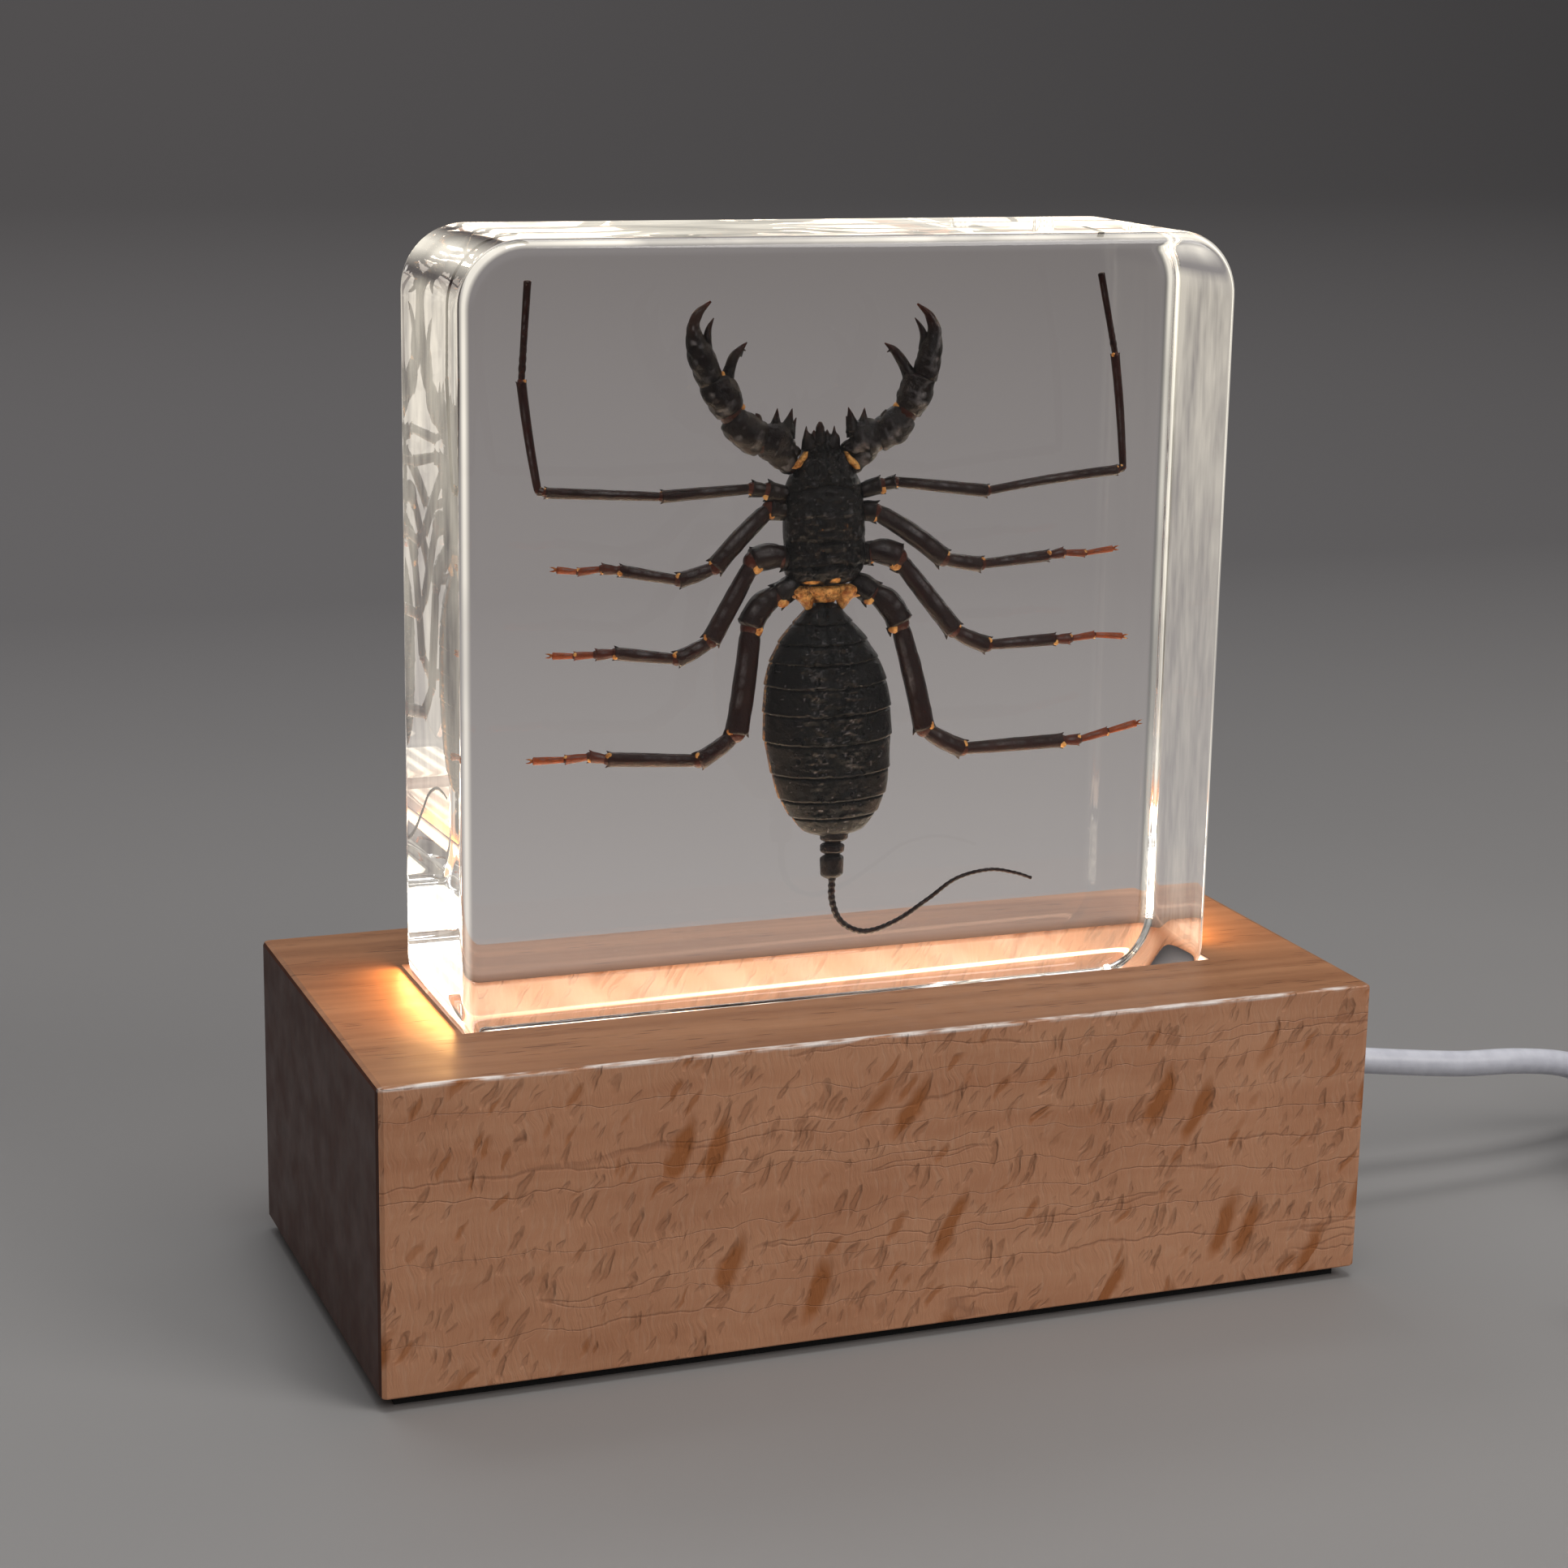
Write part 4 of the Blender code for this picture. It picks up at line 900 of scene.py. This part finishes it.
def leg_surfaces(name, number):
    """Segments end to end, slivers of soft skin at the bends, spurs at the joints, claws at the tip."""
    start, segments = LEGS[name]
    feeler = name.endswith("feeler")
    points = np.array([at_depth(*start)] + [at_depth(x, z, y) for x, z, y, _, _ in segments])
    ways = unit(np.diff(points, axis=0))
    made = []
    last = len(segments) - 1
    tones = (0.24, 0.36, 0.46, 0.52, 0.44) if feeler else (0.25, 0.42, 0.50, 0.80, 0.98)
    for k, (_, _, _, width, bow) in enumerate(segments):
        way = ways[k]
        width = LEG_SWELL * width + LEG_EXTRA
        tone = float(np.interp(k / last, (0, 0.35, 0.60, 0.78, 1), tones))
        begin, end = points[k] - way * 0.16 * width, points[k + 1] + way * 0.10 * width
        made.append(leg_segment(begin, end, width, tone, 40 + 10 * number + k, bow))
        if k == last:
            continue
        made.extend(joint_skin(points[k + 1], way, ways[k + 1], width, 90 + k + 10 * number))
        if width < 0.9 and feeler:
            continue
        normal = np.array((-way[2], 0.0, way[0]))
        for side in (-1, 1):
            root = points[k + 1] - way * 0.16 * width + normal * side * 0.36 * width
            tip = root + way * 0.30 * width + normal * side * 0.20 * width
            route = np.array([root, (root + tip) / 2, tip])
            spur = np.array(SPUR_WIDTHS) * width
            made.append(tube(route, spur, spur, 8, tone))
    if feeler:
        made.extend(beads(points[-2], points[-1], segments[-1][3], tone))
        return made
    heading = math.atan2(ways[-1][2], ways[-1][0])
    for side in (-24, 24):
        turn = heading + math.radians(side)
        bent = heading + math.radians(0.2 * side)
        middle = points[-1] + 0.40 * np.array((math.cos(turn), 0.0, math.sin(turn)))
        tip = middle + 0.34 * np.array((math.cos(bent), 0.0, math.sin(bent)))
        route = np.array([points[-1], middle, tip])
        made.append(tube(route, CLAW_WIDTHS, CLAW_WIDTHS, 8, 1.0, 0.6))
    return made


def beads(start, end, width, tone):
    """The feeler's many short tip rings: a tube whose width swells once for each ring."""
    share = np.linspace(0.0, 1.0, 160)
    line = start + (end - start) * share[:, None]
    swell = 0.90 + 0.18 * np.abs(np.sin(math.pi * share * 11.0)) ** 0.7
    widths = width * np.interp(share, (0.0, 0.12, 0.9, 1.0), (0.90, 1.12, 0.80, 0.45)) * swell
    return [tube(line, widths, widths, 12, tone)]


def pincer_surfaces(name, seed):
    """The pincer arm in stout overlapping segments, lumpy and dented, ending in its long finger."""
    made = []
    left = name.startswith("left")
    for number, stations in enumerate(PINCERS[name]):
        depth = (-0.45, -0.75, -0.85, -1.0, -1.1)[number]
        line = smooth_line([(*at_depth(x, z, depth), width) for x, z, width in stations], 14)
        run = steps_along(line[:, :3])
        share = run / run[-1]
        final = number == len(PINCERS[name]) - 1
        ends = rounded_ends(run, 0.42, 0.5)
        if final:
            ends = np.clip(ends + (run > run[-1] / 2), 0, 1)
        widths = line[:, 3] * ends
        turn = full_turn(44)
        cosine, sine, down = np.cos(turn), np.sin(turn), run[:, None]
        relief = 0.11 * lattice_noise(cosine * 2.2 + 8, down * 1.1 + 1.5 * sine + 8, seed + number)
        relief = relief + 0.05 * lattice_noise(cosine * 5 + 18, down * 3 + 3 * sine + 18, seed + 7)
        tone = np.interp(share, (0.50, 1.0), (0.20, 0.66)) if final else 0.16 + 0.03 * number
        # painted highlight: a paler streak along the arm's front side, tilted up, passed on as negative web
        crest = groove(turn - math.pi / 2 + (0.5 if left else -0.5), 0.32) + 0.5 * groove(turn - 1.6, 0.9)
        patchy = 1.2 * lattice_noise(cosine * 3 + 8, down * 2.4 + 2 * sine + 12, seed + 11)
        crest = np.clip(crest * patchy, 0, 0.9) * np.clip(4 * share * (1 - share), 0, 1)[:, None]
        made.append(tube(line[:, :3], widths, 0.86 * widths, 44, tone, -crest, 0.03, relief))
        if number > 1:
            width = stations[0][2]
            start = line[2, :3]
            away = unit(line[6, :3] - line[0, :3])
            across = np.array((-away[2], 0.0, away[0])) * (-1 if left else 1)
            spot = start + across * 0.42 * width
            made.append(blob(spot, (0.9, 0.9, 0.8), 0.3, 1.0, seed + 20 + number, 0.25))
            knuckle = (0.90 * width, 0.80 * width, 0.90 * width)
            made.append(blob(start, knuckle, 0.55, 0.35, seed + 30 + number, 0.04))
    return made


def tail_surfaces():
    """Three swollen end rings, then the whip: a thin line of beads whose width ripples at each bead."""
    made = []
    for (top, first, wide), (low, second, narrow) in TAIL_RINGS:
        share = np.linspace(0, 1, 16)
        line = np.stack([first + (second - first) * share, 0 * share, top + (low - top) * share], 1)
        run = steps_along(line)
        widths = 2 * (wide + (narrow - wide) * share) * rounded_ends(run, 0.45, 0.5)
        made.append(tube(line, widths, 0.9 * widths, 26, 0.22, 0.0, 0.0))
    made.append(blob((0.5, 0.0, -23.3), (0.8, 0.8, 0.7), 0.3, 0.3, 71))
    line = smooth_line([(x, 0.0, z) for x, z in WHIP_ROUTE], 40)
    run = steps_along(line)
    widths = np.interp(run / run[-1], (0.0, 0.25, 1.0), (0.74, 0.56, 0.32))
    widths = widths * (1 + 0.10 * np.cos(2 * math.pi * run / 0.62))
    made.append(tube(line, widths, widths, 10, np.interp(run / run[-1], (0, 1), (0.28, 0.40))))
    return made


def waist_depth(height):
    return np.interp(height, (1.7, 3.0, 4.2), (0.3, -0.2, -0.9))


def web_depth(height):
    return np.full_like(height, -1.0)


def crumpled_skin(stations, depth, seed, middle_depth=web_depth, tone=0.5):
    """A thin flattened bag of skin: its width and middle follow the stations, its faces fold sharply."""
    line = smooth_line(stations, 14)
    turn = full_turn(64)
    ragged = 1 + 0.16 * lattice_noise(line[:, :1] * 3.0 + 5, np.sign(np.cos(turn)) * 4 + 9, seed)
    x = line[:, 1:2] + line[:, 2:3] * ragged * np.cos(turn)
    z = line[:, :1] + 0 * turn
    thick = depth * np.maximum(rounded_ends(steps_along(line[:, :2]), 0.3, 0.3)[:, None], 0.3)
    fold = 0.60 * ridged(x * 0.75 + 0.4 * z + 20, z * 0.55 + 20, seed + 2)
    fold = fold + 0.10 * lattice_noise(x * 3 + 30, z * 2 + 30, seed + 4)
    y = middle_depth(line[:, :1]) - np.sin(turn) * thick * 0.5 - (np.sin(turn) > 0) * fold * 0.45
    shade = 0.80 + 0.30 * np.clip(fold, -0.6, 0.6)
    return closed_surface(np.stack([x, y, z], -1), tone, np.clip(shade, 0.35, 1.0))


def specimen(finish):
    """All of the animal, as named pieces: trunk, tail, pincers, and each leg."""
    lift = np.array((0.0, 0.0, BLOCK_MIDDLE))

    def placed(surfaces):
        points, quads, triangles, values = joined(surfaces)
        return points + lift, quads, triangles, values

    lobes = [
        crumpled_skin((
            (5.0, -3.05, 0.5), (4.5, -3.15, 0.95), (3.8, -2.9, 0.9), (3.1, -2.6, 0.55), (2.5, -2.45, 0.2),
        ), 1.3, 51, waist_depth),
        crumpled_skin((
            (5.0, 0.95, 0.5), (4.5, 1.15, 0.95), (3.8, 1.1, 0.95), (3.1, 0.95, 0.55), (2.5, 0.9, 0.2),
        ), 1.3, 55, waist_depth),
        crumpled_skin((
            (4.9, -1.0, 1.5), (4.4, -1.0, 1.8), (3.8, -1.0, 1.5), (3.2, -0.9, 1.0),
        ), 1.1, 58, waist_depth),
        crumpled_skin((
            (17.5, -3.2, 0.2), (16.9, -3.5, 0.35), (16.3, -4.0, 0.55), (15.9, -4.4, 0.3),
        ), 0.8, 61),
        crumpled_skin((
            (17.4, 0.7, 0.2), (16.9, 1.0, 0.3), (16.3, 1.5, 0.5), (15.7, 1.9, 0.25),
        ), 0.8, 64),
    ]
    spikes = (
        ((-3.7, 4.2, 0.5), (-4.2, 4.3, 0.3), (-4.8, 4.35, 0.06)),
        ((1.8, 4.0, 0.5), (2.4, 4.0, 0.3), (3.0, 4.0, 0.06)),
    )
    lobes.extend(horn(stations, -0.9, 0.5, 0.5, 1.0) for stations in spikes)
    trunk = mesh_piece("whip_scorpion_prosoma", placed([prosoma()] + lobes), finish)
    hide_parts("whip_scorpion")
    mesh_piece("whip_scorpion_abdomen", placed([abdomen()]), finish)
    mesh_piece("whip_scorpion_tail", placed(tail_surfaces()), finish)
    horns = [horn(stations, -0.9) for stations in HORNS]
    arms = pincer_surfaces("left_pincer", 101) + pincer_surfaces("right_pincer", 131)
    mesh_piece("whip_scorpion_pincers", placed(arms + horns), finish)
    for number, name in enumerate(LEGS):
        mesh_piece("whip_scorpion_" + name, placed(leg_surfaces(name, number)), finish)


# The plug

def plug_grip(finish):
    """A moulded grip: rounded rectangles along its length, waisted for the fingers, drawn in at the cord."""
    low, high = (np.array(corner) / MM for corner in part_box("plug_body"))
    share = np.linspace(0.0, 1.0, 90)
    wide = np.interp(share, (0.0, 0.03, 0.55, 0.8, 0.97, 1.0), (0.94, 1.0, 1.0, 0.82, 0.55, 0.50))
    deep = np.interp(share, (0.0, 0.03, 0.6, 0.85, 0.97, 1.0), (0.90, 1.0, 1.0, 0.90, 0.72, 0.66))
    ribs = 0.045 * (0.5 + 0.5 * np.cos(2 * math.pi * (share - 0.2) * 21.0 / 1.5))
    ribs = ribs * (share > 0.2) * (share < 0.62)
    turn = full_turn(72)
    across = np.sign(np.cos(turn)) * np.abs(np.cos(turn)) ** 0.35
    along_z = np.sign(np.sin(turn)) * np.abs(np.sin(turn)) ** 0.35
    middle, half = (low + high) / 2, (high - low) / 2
    x = low[0] + (high[0] - low[0]) * share[:, None] + 0 * turn
    y = middle[1] + half[1] * (wide * (1 - ribs))[:, None] * across
    z = middle[2] + half[2] * deep[:, None] * along_z
    z = np.maximum(z, low[2])
    grip = closed_surface(np.stack([x, -y + 2 * middle[1], z], -1), 0.0, 0.0)
    piece = mesh_piece("plug_grip", grip, finish)
    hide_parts("plug_body")
    return piece


def dress(names, finish):
    """Gives CAD parts that keep their shape their finish."""
    for name in names:
        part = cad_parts[name]
        for slot in part.material_slots:
            slot.material = finish
        if not part.material_slots:
            part.data.materials.append(finish)


# Table and light

def table_and_backdrop():
    """A level sheet that turns up behind in a quarter circle and runs on as a wall."""
    radius, back, high = 0.9, 1.5, 3.0
    bend = np.linspace(0.0, math.pi / 2, 24)
    level = np.stack([np.linspace(-3.5, back, 30), np.zeros(30)], 1)
    curve = np.stack([back + radius * np.sin(bend), radius * (1 - np.cos(bend))], 1)[1:]
    wall = np.stack([np.full(12, back + radius), np.linspace(radius, high, 12)], 1)[1:]
    profile = np.vstack([level, curve, wall])
    columns = 24
    x = np.linspace(-4.0, 4.0, columns)[None, :]
    sides = (x, profile[:, :1], profile[:, 1:])
    points = np.stack([np.broadcast_to(side, (len(profile), columns)) for side in sides], -1).reshape(-1, 3)
    corner = np.arange(len(profile) - 1)[:, None] * columns + np.arange(columns - 1)[None, :]
    faces = np.stack([corner, corner + 1, corner + columns + 1, corner + columns], -1).reshape(-1, 4)
    mesh = bpy.data.meshes.new("table")
    mesh.from_pydata(points.tolist(), [], faces.tolist())
    mesh.polygons.foreach_set("use_smooth", np.full(len(faces), True))
    mesh.materials.append(floor_finish())
    table = new_object("table", mesh)


def area_light(name, place, target, size, power, tint=(1.0, 1.0, 1.0), size_y=None):
    """A flat soft lamp at a place in metres, turned to its target."""
    lamp = bpy.data.lights.new(name, "AREA")
    lamp.shape = "RECTANGLE"
    lamp.size = size
    lamp.size_y = size_y or size
    lamp.energy = power
    lamp.color = tint
    back = unit(np.array(place) - np.array(target))
    side = unit(np.cross((0.0, 0.0, 1.0), back))
    columns = np.stack([side, np.cross(back, side), back, np.array(place)], 1)
    light = new_object(name, lamp)
    light.matrix_world = Matrix(np.vstack([columns, (0, 0, 0, 1)]).tolist())


def studio():
    """An even room, soft lamps in front, behind and above, and the stand's own light at the block's ends."""
    world = bpy.data.worlds.new("even_room")
    world.use_nodes = True
    world.node_tree.nodes["Background"].inputs["Color"].default_value = (0.95, 0.97, 1.0, 1.0)
    world.node_tree.nodes["Background"].inputs["Strength"].default_value = 0.17
    bpy.context.scene.world = world
    area_light("front_right_softbox", (0.42, -0.55, 0.52), (0.0, 0.0, 0.05), 0.40, 2.9, (1.0, 0.97, 0.94))
    area_light("rear_softbox", (-0.15, 0.55, 0.75), (0.0, 0.0, 0.05), 0.6, 1.3, (0.96, 0.98, 1.0))
    area_light("top_softbox", (0.02, -0.16, 0.75), (0.0, 0.0, 0.05), 0.22, 1.6, (1.0, 0.99, 0.97))
    area_light("backdrop_wash", (0.0, 0.7, 1.5), (0.0, 2.3, 0.4), 1.4, 19.0, (1.0, 0.97, 0.95))
    left_tint, right_tint = (1.0, 0.52, 0.17), (1.0, 0.56, 0.20)
    area_light("left_spill", (-0.0384, 0.0, 0.0316), (-0.06, 0.0, 0.0285), 0.020, 0.0028, left_tint, 0.0026)
    area_light("right_spill", (0.0384, 0.004, 0.0313), (0.06, 0.004, 0.028), 0.018, 0.004, right_tint, 0.0026)
    scene = bpy.context.scene
    scene.view_settings.view_transform = "Standard"
    scene.cycles.max_bounces = 12
    scene.cycles.diffuse_bounces = 2
    scene.cycles.glossy_bounces = 6
    scene.cycles.transmission_bounces = 12


photograph_camera()
white_cord = cord_finish()
cord_piece(white_cord, plug_grip(white_cord))
shell = shell_finish()
specimen(shell)
resin_block(resin_finish())
dress(["base_body"], beech_finish())
dress(["base_pad"], pad_finish())
dress(["led_board"], board_finish())
dress([f"led_{number}" for number in range(1, 9)], lit_chip_finish())
dress(["strain_relief"], white_cord)
dress(["plug_shell"], steel_finish())
table_and_backdrop()
studio()
